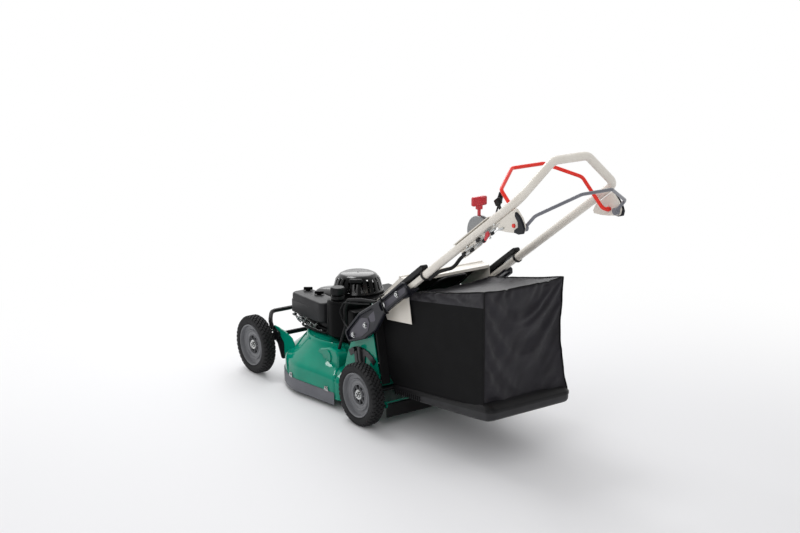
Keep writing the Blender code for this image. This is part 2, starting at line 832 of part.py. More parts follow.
def cylinder_fins(looks):
    """The finned barrel and head on the engine's right side."""
    low, high = CYLINDER_Z
    y = CRANK_Y
    core = box("barrel", (-0.190, y - 0.036, low + 0.012), (-0.070, y + 0.036, high - 0.010), looks["cast"])
    fins = []
    for k in range(FIN_COUNT):
        x = -0.094 - FIN_PITCH * k
        fins.append(box("fin", (x - 0.004, y - 0.048, low), (x, y + 0.048, high), looks["cast"]))
    head = box("head", (-0.196, y - 0.042, low + 0.006), (-0.172, y + 0.042, high - 0.004), looks["cast"])
    return fuse(core, fins + [head])


def blower_housing(looks):
    """The black shroud round the flywheel and over the barrel, open on top."""
    low, high = HOUSING_LOW, HOUSING_TOP
    centre = (0.0, CRANK_Y)

    def shell(inset, bottom, top):
        arc = circle(centre, HOUSING_RADIUS - inset, 16, math.radians(-146), math.radians(292))
        reach = [(-0.182 + inset, CRANK_Y + 0.055 - inset), (-0.182 + inset, CRANK_Y - 0.055 + inset)]
        return prism("blower_housing", arc + reach, "Z", bottom, top, looks["black"], 0.0 if inset else 0.0015)

    housing = shell(0.0, low, high)
    inner = shell(COVER_WALL, low + COVER_WALL, high - COVER_WALL)
    shaft = cylinder("shaft", "Z", (0, CRANK_Y, 0), 0.030, low - 0.01, low + 0.01, looks["black"], 16)
    mouth = cylinder("mouth", "Z", (0, CRANK_Y, 0), FAN_RADIUS + FREE, high - 0.02, high + 0.02, looks["black"], 20)
    return cut(housing, [inner, mouth, shaft])


def recoil_cover(looks):
    """The domed starter cover with its ring of upright slots."""
    base = HOUSING_TOP + SEAT
    wall = COVER_WALL
    outer = [
        (0.0980, base),
        (0.0980, base + 0.020),
        (0.0915, base + 0.036),
        (0.0850, base + 0.060),
        (0.0700, COVER_TOP - 0.006),
        (0.0560, COVER_TOP),
    ]
    inner = [
        (0.0550, COVER_TOP - wall),
        (0.0685, COVER_TOP - 0.006 - wall * 0.7),
        (0.0850 - wall, base + 0.0595),
        (0.0915 - wall, base + 0.0350),
        (0.0920, base + 0.018),
        (0.0920, base),
    ]
    steps = COVER_SLOTS
    dome = revolve("recoil_cover", outer + [(0.004, COVER_TOP), (0.004, COVER_TOP - wall)] + inner, "Z", (0, CRANK_Y, 0), steps, looks["black"], closed=True)
    slots = []
    for k in range(COVER_SLOTS):
        slot = box("slot", (0.070, -0.0042, base + 0.026), (0.110, 0.0042, base + 0.072), looks["black"])
        turn = Matrix.Rotation(2 * math.pi * (k + 1.0) / COVER_SLOTS, 4, "Z")
        slot.data.transform(Matrix.Translation((0, CRANK_Y, 0)) @ turn)
        slots.append(slot)
    slots = join("slots", slots)
    middle = Vector(GRIP_PLACE)
    guide = tube("guide", [middle - GRIP_PULL * 0.034, middle], 0.0026, looks["black"], detail=1)
    return cut(dome, [slots, guide])


GRIP_ANGLE = math.radians(50)
GRIP_OUT = 0.0895
GRIP_PLACE = (GRIP_OUT * math.cos(GRIP_ANGLE), CRANK_Y + GRIP_OUT * math.sin(GRIP_ANGLE), 0.419)
GRIP_PULL = Vector((0.0, math.cos(HANDLE_SLOPE), math.sin(HANDLE_SLOPE)))


def fuel_tank(looks):
    """The tank that wraps the housing's left and rear, with its filler neck."""
    centre = (0.0, CRANK_Y)
    step = math.radians(-127) / 10
    clear = (HOUSING_RADIUS + SEAT) / math.cos(step / 2)
    arc = circle(centre, clear, 10, math.radians(150), 10 * step)
    outline = arc + [
        (0.108, CRANK_Y + 0.026),
        (0.132, CRANK_Y + 0.020),
        (0.158, CRANK_Y + 0.026),
        (0.175, CRANK_Y + 0.052),
        (0.175, CRANK_Y + 0.092),
        (0.150, CRANK_Y + 0.132),
        (0.110, CRANK_Y + 0.150),
        (-0.100, CRANK_Y + 0.150),
        (-0.112, CRANK_Y + 0.130),
    ]
    tank = prism("fuel_tank", outline, "Z", 0.222, 0.362, looks["black"], 0.008)
    neck = cylinder("neck", "Z", (*CAP_PLACE, 0), 0.023, 0.350, 0.3795, looks["black"], 14)
    return fuse(tank, [neck])


CAP_PLACE = (0.134, -0.338)
CAP_RIBS = 10


def fuel_cap(looks):
    """The knurled cap on the filler neck."""
    ring = []
    for k in range(CAP_RIBS * 2):
        angle = math.pi * k / CAP_RIBS
        radius = 0.0275 if k % 2 else 0.0255
        ring.append((CAP_PLACE[0] + radius * math.cos(angle), CAP_PLACE[1] + radius * math.sin(angle)))
    return prism("fuel_cap", ring, "Z", 0.3798, 0.408, looks["black"], 0.003)


AIR_BOX = ((0.062, -0.635, 0.2505), (0.158, -0.425, 0.325))


def air_cleaner(looks):
    """The air cleaner's case, and its lid with two wing knobs."""
    low, high = AIR_BOX
    near_housing = [(low[0] + 0.048, high[1]), (low[0], high[1] - 0.060)]
    outline = rounded([(low[0], low[1]), (high[0], low[1]), (high[0], high[1]), *near_housing], 0.014, 1)
    case = prism("air_cleaner_case", outline, "Z", low[2], high[2] - 0.022 - SEAT, looks["black"], 0.003)
    lid = prism("air_cleaner_lid", outline, "Z", high[2] - 0.022, high[2], looks["black"], 0.005)
    knobs = []
    for y in (low[1] + 0.046, high[1] - 0.058):
        centre = ((low[0] + high[0]) / 2, y, 0.0)
        hub = cylinder("knob", "Z", centre, 0.009, high[2] - 0.003, high[2] + 0.008, looks["black"], 8)
        wing = box(
            "wing",
            (centre[0] - 0.016, y - 0.003, high[2] + 0.002),
            (centre[0] + 0.016, y + 0.003, high[2] + 0.014),
            looks["black"],
        )
        knobs.extend([hub, wing])
    return [case, fuse(lid, knobs)]


def carburettor(looks):
    """The carburettor and its intake under the air cleaner's inner edge."""
    low = AIR_BOX[0]
    top = low[2] - SEAT
    body = box("carburettor", (0.066, -0.572, 0.216), (0.104, -0.532, top - 0.004), looks["cast"], 0.004)
    bowl = cylinder("bowl", "Z", (0.085, -0.552, 0), 0.015, 0.2045 + SEAT, 0.222, looks["cast"], 12)
    neck = cylinder("neck", "Z", (0.085, -0.552, 0), 0.013, top - 0.012, top, looks["cast"], 12)
    return fuse(body, [bowl, neck])


def muffler(looks):
    """The muffler at the right front inside its slotted guard."""
    low, high = (-0.150, -0.560, 0.232), (-0.060, -0.500, 0.290)
    can = box("muffler", low, high, looks["dark"], 0.012, 2)
    pipe = cylinder("pipe", "Y", (-0.120, 0, 0.262), 0.010, high[1] - 0.01, -0.4485 - SEAT, looks["dark"], 10)
    outlet = cylinder("outlet", "X", (0, -0.530, 0.250), 0.008, low[0] - 0.010, low[0] + 0.020, looks["dark"], 10)
    can = fuse(can, [pipe, outlet])
    gap, wall = 0.012, 0.0015
    outer = box(
        "guard",
        (low[0] - gap - wall, low[1] - gap - wall, low[2] - 0.0265),
        (high[0] + gap + wall, high[1] + 0.010, high[2] + gap + wall),
        looks["dark"],
    )
    inner = box(
        "room",
        (low[0] - gap, low[1] - gap, low[2] - 0.050),
        (high[0] + gap, high[1] + 0.020, high[2] + gap),
        looks["dark"],
    )
    slots = []
    for k in range(3):
        z = low[2] + 0.002 + 0.018 * k
        slots.append(box("slot", (low[0] + 0.010, low[1] - 0.040, z), (high[0] - 0.010, low[1], z + 0.006), looks["dark"]))
    guard = cut(outer, [inner, join("slots", slots)])
    middle = (low[1] + high[1]) / 2
    struts = [
        box("strut", (low[0] - gap - wall / 2, middle - 0.004, 0.250), (low[0] + 0.004, middle + 0.004, 0.258), looks["dark"]),
        box("strut", (high[0] - 0.004, middle - 0.004, 0.250), (high[0] + gap + wall / 2, middle + 0.004, 0.258), looks["dark"]),
    ]
    return fuse(can, [guard, *struts])


def spark_plug(looks):
    """The rubber cap over the plug at the barrel's end."""
    y, z = CRANK_Y + 0.012, 0.262
    cap = cylinder("spark_plug_cap", "X", (0, y, z), 0.010, -0.222, -0.196 - SEAT, looks["rubber"], 10)
    lead = cylinder("lead", "Z", (-0.212, y, 0), 0.005, z - 0.002, z + 0.030, looks["rubber"], 8)
    return fuse(cap, [lead])


# Crankshaft, blade and starter grip

def crank_pieces(looks):
    """The shaft, the flywheel's fan and the blade with its adapter and bolt."""
    centre = (0, CRANK_Y, 0)
    top = HOUSING_TOP + 0.002
    shaft_low = BLADE_Z + BLADE_THICKNESS + 0.006
    shaft = cylinder("crankshaft", "Z", centre, SHAFT_RADIUS, shaft_low, top, looks["steel"], 16)
    disc = revolve(
        "flywheel_fan",
        [(FAN_RADIUS - 0.008, top - 0.026), (FAN_RADIUS, top - 0.010), (FAN_RADIUS, top + 0.004)],
        "Z",
        centre,
        18,
        looks["cast"],
    )
    blades = []
    for k in range(FAN_BLADES):
        blade = box("vane", (0.040, -0.0015, top + 0.002), (FAN_RADIUS - 0.002, 0.0015, top + 0.022), looks["cast"])
        turn = Matrix.Rotation(2 * math.pi * (k + 0.3) / FAN_BLADES, 4, "Z")
        blade.data.transform(Matrix.Translation((0, CRANK_Y, 0)) @ turn)
        blades.append(blade)
    fan = fuse(disc, [join("vanes", blades)])
    fan = cut(fan, [cylinder("bore", "Z", centre, SHAFT_RADIUS + SEAT, top - 0.05, top + SEAT, looks["cast"], 16)])
    seat = BLADE_Z + BLADE_THICKNESS + SEAT
    adapter = revolve(
        "blade_adapter",
        [(0.036, seat), (0.036, seat + 0.006), (0.020, seat + 0.008), (0.020, seat + 0.045)],
        "Z",
        centre,
        16,
        looks["cast"],
    )
    adapter = cut(
        adapter,
        [cylinder("bore", "Z", centre, SHAFT_RADIUS + SEAT, shaft_low - SEAT, 0.2, looks["cast"], 16)],
    )
    bolt = revolve(
        "blade_bolt",
        [(0.012, BLADE_Z - 0.009), (0.012, BLADE_Z - SEAT), (0.005, BLADE_Z - SEAT), (0.005, seat + 0.002)],
        "Z",
        centre,
        6,
        looks["zinc"],
    )
    return [shaft, fan, fuse(adapter, [bolt]), blade_bar(looks)]


def blade_bar(looks):
    """The cutting bar: flat in the middle, with a raised lift wing behind each edge."""
    half = BLADE_WIDTH / 2
    mesh = bmesh.new()
    stations = [
        (-BLADE_RADIUS + 0.006, 0.45, BLADE_LIFT),
        (-BLADE_RADIUS + 0.075, 0.45, BLADE_LIFT),
        (-BLADE_RADIUS + 0.105, 0.95, 0.0),
        (0.0, 0.95, 0.0),
    ]
    stations = stations + [(-x, knee, lift) for x, knee, lift in reversed(stations[:-1])]
    rows = []
    for x, knee, lift in stations:
        side = -1 if x < 0 else 1
        across = [(-half, 0.0), (half * knee, 0.0), (half, lift)]
        low = [(x, side * a, BLADE_Z + up) for a, up in across]
        high = [(x, side * a, BLADE_Z + up + BLADE_THICKNESS) for a, up in reversed(across)]
        ring = low + high
        if side > 0:
            ring = [ring[i] for i in (2, 1, 0, 5, 4, 3)]
        rows.append([mesh.verts.new((px, py + CRANK_Y, pz)) for px, py, pz in ring])
    middle = len(rows) // 2
    for k, (row, following) in enumerate(zip(rows, rows[1:])):
        for i in range(6):
            j = (i + 1) % 6
            mesh.faces.new((row[i], row[j], following[j], following[i]))
    mesh.faces.new(rows[0])
    mesh.faces.new(rows[-1])
    blade = from_bmesh("blade", mesh, looks["steel"])
    return cut(blade, [cylinder("hole", "Z", (0, CRANK_Y, 0), 0.0056, 0.0, 0.2, looks["steel"], 10)])


def starter_grip(looks):
    """The pull grip, with the short end of rope that enters the cover."""
    middle = Vector(GRIP_PLACE)
    grip = box("starter_grip", (-0.0075, -0.025, -0.008), (0.0075, 0.025, 0.008), looks["black"], 0.004)
    grip.data.transform(Matrix.Translation(middle) @ Matrix.Rotation(GRIP_ANGLE, 4, "Z"))
    rope = tube("rope", [middle - GRIP_PULL * 0.030, middle], 0.002, looks["black"], detail=1)
    return fuse(grip, [rope])


# Wheels and axles

def wheel_pieces(label, place, side, looks):
    """A tyre and its wheel on an axle end; the dished face looks outward."""
    half = TYRE_WIDTH / 2
    tyre_profile = [
        (TYRE_RADIUS, -half * 0.66),
        (TYRE_RADIUS, half * 0.66),
        (TYRE_RADIUS - 0.010, half),
        (RIM_RADIUS + 0.006, half * 0.97),
        (RIM_RADIUS + SEAT, half * 0.80),
        (RIM_RADIUS + SEAT, -half * 0.80),
        (RIM_RADIUS + 0.006, -half * 0.97),
        (TYRE_RADIUS - 0.010, -half),
    ]
    # The tyre's inner facets clear the rim's corners
    tyre_profile = [
        (r / math.cos(math.pi / TYRE_STEPS) if r < RIM_RADIUS + 0.002 else r, h) for r, h in tyre_profile
    ]
    bore = (SPINDLE_RADIUS + RUN) / math.cos(math.pi / RIM_STEPS)
    rim_profile = [
        (RIM_RADIUS, half * 0.80),
        (RIM_RADIUS - 0.007, half * 0.88),
        (RIM_RADIUS - 0.012, half * 0.42),
        (0.040, half * 0.36),
        (0.036, half * 0.10),
        (HUB_RADIUS + 0.001, half * 0.10),
        (HUB_RADIUS - 0.002, HUB_OUTER),
        (bore, HUB_OUTER),
        (bore, -HUB_INNER),
        (HUB_RADIUS, -HUB_INNER),
        (HUB_RADIUS + 0.003, -half * 0.12),
        (RIM_RADIUS - 0.009, -half * 0.10),
        (RIM_RADIUS - 0.007, -half * 0.88),
        (RIM_RADIUS, -half * 0.80),
    ]
    centre = (side * WHEEL_X, place[0], place[1])
    tyre_profile = [(r, side * h) for r, h in tyre_profile]
    rim_profile = [(r, side * h) for r, h in rim_profile]
    tyre = revolve(label + "_tyre", tyre_profile, "X", centre, TYRE_STEPS, looks["rubber"], closed=True)
    rim = revolve(label + "_wheel", rim_profile, "X", centre, RIM_STEPS, looks["rim"], closed=True)
    return [tyre, rim]


def spindle(place, side, look):
    """The stepped pin from an axle arm out through its wheel, with the nut on its end."""
    inner, outer = ARM_INNER, WHEEL_X + HUB_OUTER + RUN + NUT_LENGTH
    shoulder = WHEEL_X - HUB_INNER - RUN
    profile = [
        (0.010, side * (inner + 0.001)),
        (0.010, side * shoulder),
        (SPINDLE_RADIUS, side * shoulder),
        (SPINDLE_RADIUS, side * outer),
    ]
    pin = revolve("spindle", profile, "X", (0, *place), 10, look)
    face = WHEEL_X + HUB_OUTER + RUN
    nut = cylinder("nut", "X", (0, *place), NUT_RADIUS, side * face, side * (outer - 0.0005), look, 6)
    return fuse(pin, [nut])


def axle_arm(pivot, place, side, inner, look):
    """The swinging plate between an axle's pivot and a wheel spindle."""
    low, high = mirrored((inner, inner + ARM_THICKNESS), side)
    return prism("arm", link_outline(pivot, place, ARM_RADIUS, ARM_RADIUS - 0.003), "X", low, high, look)


def front_axle(looks):
    """The cross tube, its two arms and the front spindles."""
    dark = looks["dark"]
    inner = EAR_INNER + EAR_THICKNESS + FREE
    tube_end = inner + ARM_THICKNESS / 2
    axle = cylinder("front_axle", "X", (0, *FRONT_PIVOT), CROSS_TUBE_RADIUS, -tube_end, tube_end, dark, 10)
    pieces = []
    for side in (1, -1):
        pieces.append(axle_arm(FRONT_PIVOT, FRONT_AXLE, side, inner, dark))
        pieces.append(spindle(FRONT_AXLE, side, dark))
    return fuse(axle, pieces)


def front_lever(looks):
    """The front height lever: a flat arm with an upright grip."""
    y, z = FRONT_PIVOT
    low, high = HANDLE_X - 0.003, HANDLE_X + 0.003
    outline = rounded(
        [(y + 0.014, z - 0.014), (y + 0.014, z + 0.014), (y - 0.084, z + 0.010), (y - 0.096, z + 0.004), (y - 0.096, z - 0.010)],
        0.006,
        2,
    )
    arm = prism("front_height_lever", outline, "X", low, high, looks["black"])
    grip = cylinder("grip", "Z", (HANDLE_X, y - 0.089, 0), 0.0075, z - 0.002, z + 0.044, looks["black"], 10)
    arm = fuse(arm, [grip])
    hole = cylinder("hole", "X", (0, y, z), CROSS_TUBE_RADIUS + SEAT + 0.0003, 0.1, 0.3, looks["black"], 14)
    return cut(arm, [hole])


def rear_axle(looks):
    """The tube between the rear arms, the arms with their pivot bores and the spindles."""
    dark = looks["dark"]
    reach = ARM_INNER + 0.002
    axle = cylinder("rear_axle", "X", (0, *REAR_AXLE), REAR_TUBE_RADIUS, -reach, reach, dark, 10)
    pieces = []
    for side in (1, -1):
        pieces.append(axle_arm(REAR_PIVOT, REAR_AXLE, side, ARM_INNER, dark))
        pieces.append(spindle(REAR_AXLE, side, dark))
    axle = fuse(axle, pieces)
    bore = cylinder("bore", "X", (0, *REAR_PIVOT), DRIVE_SHAFT_RADIUS + RUN + 0.0003, -0.3, 0.3, dark, 10)
    return cut(axle, [bore])


def rear_lever(looks):
    """The rear height lever that stands up from the left arm between tower and wheel."""
    y, z = REAR_PIVOT
    low = ARM_OUTER + SEAT
    top = (y - 0.022, z + 0.130)
    lever = prism("rear_height_lever", link_outline((y, z), top, 0.013, 0.007), "X", low, low + 0.004, looks["black"])
    grip = cylinder("grip", "X", (0, *top), 0.0085, low, low + 0.014, looks["black"], 10)
    lever = fuse(lever, [grip])
    hole = cylinder("hole", "X", (0, y, z), DRIVE_SHAFT_RADIUS + RUN + 0.0003, 0.1, 0.3, looks["black"], 12)
    return cut(lever, [hole])


def drive_shaft(looks):
    """The shaft from the gearbox to both rear arms."""
    reach = ARM_OUTER
    return cylinder("drive_shaft", "X", (0, *REAR_PIVOT), DRIVE_SHAFT_RADIUS, -reach, reach, looks["steel"], 10)


# Handle

def bracket_outline(inset=0.0):
    """The handle bracket's side view: a pod on the tower, then a straight channel."""
    corners = [
        (-0.124, 0.266),
        (-0.153, 0.301),
        (-0.062, 0.391),
        (0.059, 0.464),
        (0.193, 0.560),
        (0.241, 0.536),
        (0.095, 0.429),
        (0.040, 0.352),
        (-0.026, 0.304),
    ]
    return corners


def shrink(outline, inset):
    """A convex-ish outline moved inward by an inset, corner by corner."""
    moved = []
    count = len(outline)
    area = sum(
        outline[i][0] * outline[(i + 1) % count][1] - outline[(i + 1) % count][0] * outline[i][1]
        for i in range(count)
    )
    turn = 1 if area > 0 else -1
    for i in range(count):
        before, here, after = (Vector(outline[(i + k) % count]) for k in (-1, 0, 1))
        normals = []
        for a, b in ((before, here), (here, after)):
            run = (b - a).normalized()
            normals.append(Vector((-run.y, run.x)) * turn)
        middle = (normals[0] + normals[1]).normalized()
        moved.append(tuple(here + middle * inset / max(0.3, middle.dot(normals[0]))))
    return moved


BRACKET_BOLTS = ((-0.104, 0.299), (-0.030, 0.352), (0.158, 0.5085))


def handle_bracket(side, looks):
    """One handle bracket: bolted on the tower below, with a pocketed channel above."""
    name = "handle_bracket_left" if side > 0 else "handle_bracket_right"
    look = looks["anthracite"]
    outline = bracket_outline()
    tube_side = HANDLE_X + HANDLE_RADIUS + 0.0005
    low, high = mirrored((tube_side, BRACKET_OUTER), side)
    bracket = prism(name, rounded(outline, 0.010, 1), "X", low, high, look, 0.003)
    pod = [(-0.124, 0.266), (-0.153, 0.301), (-0.062, 0.391), (0.004, 0.431), (0.004, 0.327), (-0.026, 0.304)]
    low, high = mirrored((TOWER_HALF + SEAT, BRACKET_OUTER - 0.010), side)
    block = prism("pod", rounded(shrink(pod, 0.0035), 0.006, 1), "X", low, high, look)
    lip_corners = [(0.086, -HANDLE_RADIUS - 0.0006), (0.170, -HANDLE_RADIUS - 0.0006), (0.170, -0.0195), (0.086, -0.0195)]
    low, high = mirrored((HANDLE_X - HANDLE_RADIUS, BRACKET_OUTER - 0.010), side)
    lip = prism("lip", handle_outline(lip_corners), "X", low, high, look)
    bracket = fuse(bracket, [block, lip])
    pod_pocket = shrink([(-0.124, 0.266), (-0.153, 0.301), (-0.062, 0.391), (0.035, 0.447), (0.052, 0.392), (0.030, 0.350), (-0.026, 0.304)], 0.009)
    channel = handle_outline([(-0.020, -0.016), (0.150, -0.016), (0.172, 0.010), (0.172, 0.015), (-0.020, 0.015)])
    pockets = []
    for shape in (pod_pocket, channel):
        low, high = mirrored((BRACKET_OUTER - BRACKET_POCKET, BRACKET_OUTER + 0.01), side)
        pockets.append(prism("pocket", rounded(shape, 0.006, 1), "X", low, high, look))
    low, high = mirrored((0.1, 0.3), side)
    pin = cylinder("hole", "X", (0, *HANDLE_PIVOT), PIVOT_BOLT_RADIUS + SEAT, low, high, look, 12)
    bracket = cut(bracket, pockets + [pin])
    low, high = mirrored((BRACKET_OUTER - BRACKET_POCKET - 0.002, BRACKET_OUTER - BRACKET_POCKET + 0.0055), side)
    return fuse(bracket, [cylinder("bolt", "X", (0, *place), 0.0085, low, high, look, 6) for place in BRACKET_BOLTS])


ADJUSTER_END = 0.468


def pivot_bolt(side, looks):
    """The bolt that a lower handle tube folds on, with its head in the bracket's channel."""
    name = "pivot_bolt_left" if side > 0 else "pivot_bolt_right"
    face = BRACKET_OUTER - BRACKET_POCKET + SEAT
    inner = HANDLE_X - HANDLE_RADIUS - 0.0015
    ends = [side * v for v in (inner, face, face, face + 0.0055)]
    radii = (PIVOT_BOLT_RADIUS, PIVOT_BOLT_RADIUS, 0.0085, 0.0085)
    return revolve(name, list(zip(radii, ends)), "X", (0, *HANDLE_PIVOT), 12, looks["zinc"])


def handle_bar(looks):
    """The hollow upper handle: two straight tubes and the loop between them."""
    start = on_handle(HANDLE_JOINT, 0.0, HANDLE_X)
    half = [tuple(start), (LOOP_START_X, *LOOP_START), (LOOP_TOP_X, *LOOP_TOP)]
    path = half + [(-x, y, z) for x, y, z in reversed(half)]
    bar = tube("handle_bar", path, HANDLE_RADIUS, looks["cream"], 0.045, 3, 2)
    longer = [tuple(on_handle(HANDLE_JOINT - 0.01, 0.0, HANDLE_X)), *half[1:]]
    path = longer + [(-x, y, z) for x, y, z in reversed(longer)]
    bore = tube("bore", path, HANDLE_RADIUS - HANDLE_WALL, looks["cream"], 0.045, 3, 2)
    return cut(bar, [bore])


def lower_tube(side, looks):
    """A lower tube, which folds on its pivot bolt, with the collar that the upper one meets."""
    name = "handle_lower_tube_left" if side > 0 else "handle_lower_tube_right"
    x = side * HANDLE_X
    stub = tube(name, [on_handle(place, 0.0, x) for place in (STUB_FRONT, STUB_REAR)], STUB_RADIUS, looks["cream"], detail=2)
    ends = [on_handle(HANDLE_JOINT + shift, 0.0, x) for shift in (-0.0085, -SEAT)]
    ring = tube("ring", ends, HANDLE_RADIUS + 0.002, looks["cream"], detail=2)
    hole = cylinder("hole", "X", (0, *HANDLE_PIVOT), PIVOT_BOLT_RADIUS + RUN, side * 0.15, side * 0.25, looks["cream"], 12)
    return cut(fuse(stub, [ring]), [hole])


def lever_bracket(side, looks):
    """The plate under a tube that carries the two bails; the left one holds the cables too."""
    name = "lever_bracket_left" if side > 0 else "lever_bracket_right"
    outline = [
        (0.655, 0.8275),
        (0.672, 0.8595),
        (0.744, 0.9120),
        (0.774, 0.886),
        (0.787, 0.862),
        (0.782, 0.841),
        (0.734, 0.832),
        (0.699, 0.828),
    ]
    low, high = mirrored((HANDLE_X - PLATE_THICKNESS / 2, HANDLE_X + PLATE_THICKNESS / 2), side)
    look = looks["cream"]
    plate = prism(name, rounded(outline, 0.006, 1), "X", low, high, look)
    if side > 0:
        under = -HANDLE_RADIUS - 0.0006
        drop = under - 0.026
        anchor = [(0.470, under), (0.705, under), (0.705, under - 0.010), (0.600, under - 0.010), (0.580, drop), (0.490, drop), (0.470, under - 0.004)]
        pieces = [prism("anchor", handle_outline(anchor), "X", HANDLE_X - 0.003, HANDLE_X, look)]
        for level in (-0.010, -0.019):
            ends = [on_handle(place, under + level, HANDLE_X - 0.006) for place in (ADJUSTER_END, 0.566)]
            pieces.append(tube("adjuster", ends, 0.0042, look, detail=1))
        plate = fuse(plate, pieces)
    holes = [
        cylinder("hole", "X", (0, *BRAKE_PIVOT), BRAKE_RADIUS + RUN + 0.0006, side * 0.15, side * 0.25, look, 12),
        cylinder("hole", "X", (0, *DRIVE_PIVOT), DRIVE_RADIUS + RUN + 0.0003, side * 0.15, side * 0.25, look, 12),
    ]
    return cut(plate, holes)


def console_plate(looks):
    """The sheet along the left tube's top, slotted for the levers."""
    low, high = CONSOLE
    base = HANDLE_RADIUS + SEAT
    outline = handle_outline([(low, base), (high, base), (high, base + CONSOLE_SHEET), (low, base + CONSOLE_SHEET)])
    plate = prism("console_plate", outline, "X", CONSOLE_INNER, HANDLE_X + 0.010, looks["cream"])
    slots = []
    places = ((DRIVE_LEVER_X, QUADRANT_PLACE, 0.010, 0.036), (SPEED_LEVER_X, SPEED_PLACE, 0.016, 0.016))
    for x, place, ahead, behind in places:
        shape = handle_outline([(place - ahead, 0.0), (place + behind, 0.0), (place + behind, 0.03), (place - ahead, 0.03)])
        slots.append(prism("slot", shape, "X", x - 0.0045, x + 0.0045, looks["cream"]))
    cheeks = []
    for x, place, *_ in places:
        shape = handle_outline([(place - 0.006, base - 0.014), (place + 0.006, base - 0.014), (place + 0.006, base + 0.001), (place - 0.006, base + 0.001)])
        for side in (1, -1):
            gap = LEVER_BOSS + SEAT
            low, high = sorted((x + side * gap, x + side * (gap + 0.002)))
            cheeks.append(prism("cheek", shape, "X", low, high, looks["cream"]))
    return fuse(cut(plate, slots), cheeks)


LEVER_BOSS = 0.0050
DRIVE_LEVER_X = HANDLE_X - 0.090
SPEED_LEVER_X = HANDLE_X - 0.069
SPEED_PLACE = 0.648


def throttle_housing(looks):
    """The half-round throttle housing on the console plate, with its lever slot."""
    base = HANDLE_RADIUS + SEAT * 2 + CONSOLE_SHEET
    centre = on_handle(QUADRANT_PLACE, base)
    arc = [
        tuple((centre + ALONG * QUADRANT_RADIUS * math.cos(a) + ABOVE * QUADRANT_RADIUS * math.sin(a)).yz)
        for a in [math.pi * k / 12 for k in range(13)]
    ]
    half = QUADRANT_WIDTH / 2
    shell = prism("throttle_housing", arc, "X", THROTTLE_X - half, THROTTLE_X + half, looks["grey"], 0.003)
    sweep = [
        tuple((centre + ALONG * r * math.cos(a) + ABOVE * r * math.sin(a)).yz)
        for r, a in [(0.001, math.pi / 2), *[(0.080, math.radians(30 + 8 * k)) for k in range(14)]]
    ]
    slot = prism("slot", sweep, "X", THROTTLE_X - 0.0035, THROTTLE_X + 0.0035, looks["grey"])
    return cut(shell, [slot])


def throttle_lever(looks):
    """The red throttle lever with its broad T-shaped grip."""
    base = HANDLE_RADIUS + SEAT * 2 + CONSOLE_SHEET + 0.012
    pivot = on_handle(QUADRANT_PLACE, base, THROTTLE_X)
    stem = box("throttle_lever", (-0.0031, -0.005, 0.0), (0.0031, 0.005, 0.090), looks["red"])
    boss = cylinder("boss", "X", (0, 0, 0), 0.006, -0.0031, 0.0031, looks["red"], 10)
    grip = box("grip", (-0.028, -0.007, 0.076), (0.030, 0.009, 0.106), looks["red"], 0.004, 1)
    neck = box("neck", (-0.010, -0.006, 0.064), (0.010, 0.006, 0.082), looks["red"])
    lever = fuse(stem, [boss, grip, neck])
    lever.data.transform(Matrix.Translation(pivot))
    return lever, pivot


def rod_lever(name, x, place, length, lean, flat, looks):
    """A console lever: a thin stalk through the plate's slot with a black knob."""
    pivot = on_handle(place, HANDLE_RADIUS + SEAT - 0.008, x)
    if flat:
        stalk = box(name, (-0.0015, -0.006, -0.006), (0.0015, 0.006, length), looks["zinc"])
        knob = box("knob", (-0.007, -0.010, length - 0.012), (0.007, 0.016, length + 0.010), looks["black"], 0.004, 2)
    else:
        stalk = cylinder(name, "Z", (0, 0, 0), 0.003, -0.006, length, looks["black"], 8)
        knob = revolve(
            "knob",
            [(0.007, length - 0.044), (0.0095, length - 0.030), (0.008, length), (0.003, length + 0.004)],
            "Z",
            (0, 0, 0),
            10,
            looks["black"],
        )
    boss = cylinder("boss", "X", (0, 0, 0), 0.0055, -LEVER_BOSS, LEVER_BOSS, looks["zinc"], 8)
    lever = fuse(stalk, [knob, boss])
    lever.data.transform(Matrix.Translation(pivot) @ Matrix.Rotation(lean, 4, "X"))
    return lever, pivot


def handle_cables(looks):
    """The sheathed control cables that run from the adjusters down under the left tube."""
    under = -HANDLE_RADIUS - 0.0006
    start = on_handle(ADJUSTER_END - SEAT, under - 0.0145, HANDLE_X - 0.006)
    lead = on_handle(ADJUSTER_END - 0.022, under - 0.0145, HANDLE_X - 0.006)
    sag = on_handle(0.400, under - 0.026, HANDLE_X - 0.004)
    tie = on_handle(0.325, under - 0.006, HANDLE_X)
    end = on_handle(0.262, under - 0.006, HANDLE_X)
    return tube("handle_cables", [start, lead, sag, tie, end], 0.006, looks["black"], 0.06, 2, 1)


def deck_cables(looks):
    """The sheathed cables from the left bracket forward and down to the drive case."""
    x = TOWER_HALF + SEAT - 0.0005 - 0.006
    case = TOWER_HALF - 0.017
    path = [
        (x, 0.000, 0.440),
        (x - 0.003, -0.100, 0.425),
        (case + 0.002, -0.190, 0.402),
        (case, -0.212, 0.360),
        (case, -0.206, 0.300),
        (case, -0.250, 0.2025 + SEAT),
    ]
    return tube("deck_cables", path, 0.006, looks["black"], 0.03, 2, 1)


LATCH_PIVOT = 0.256


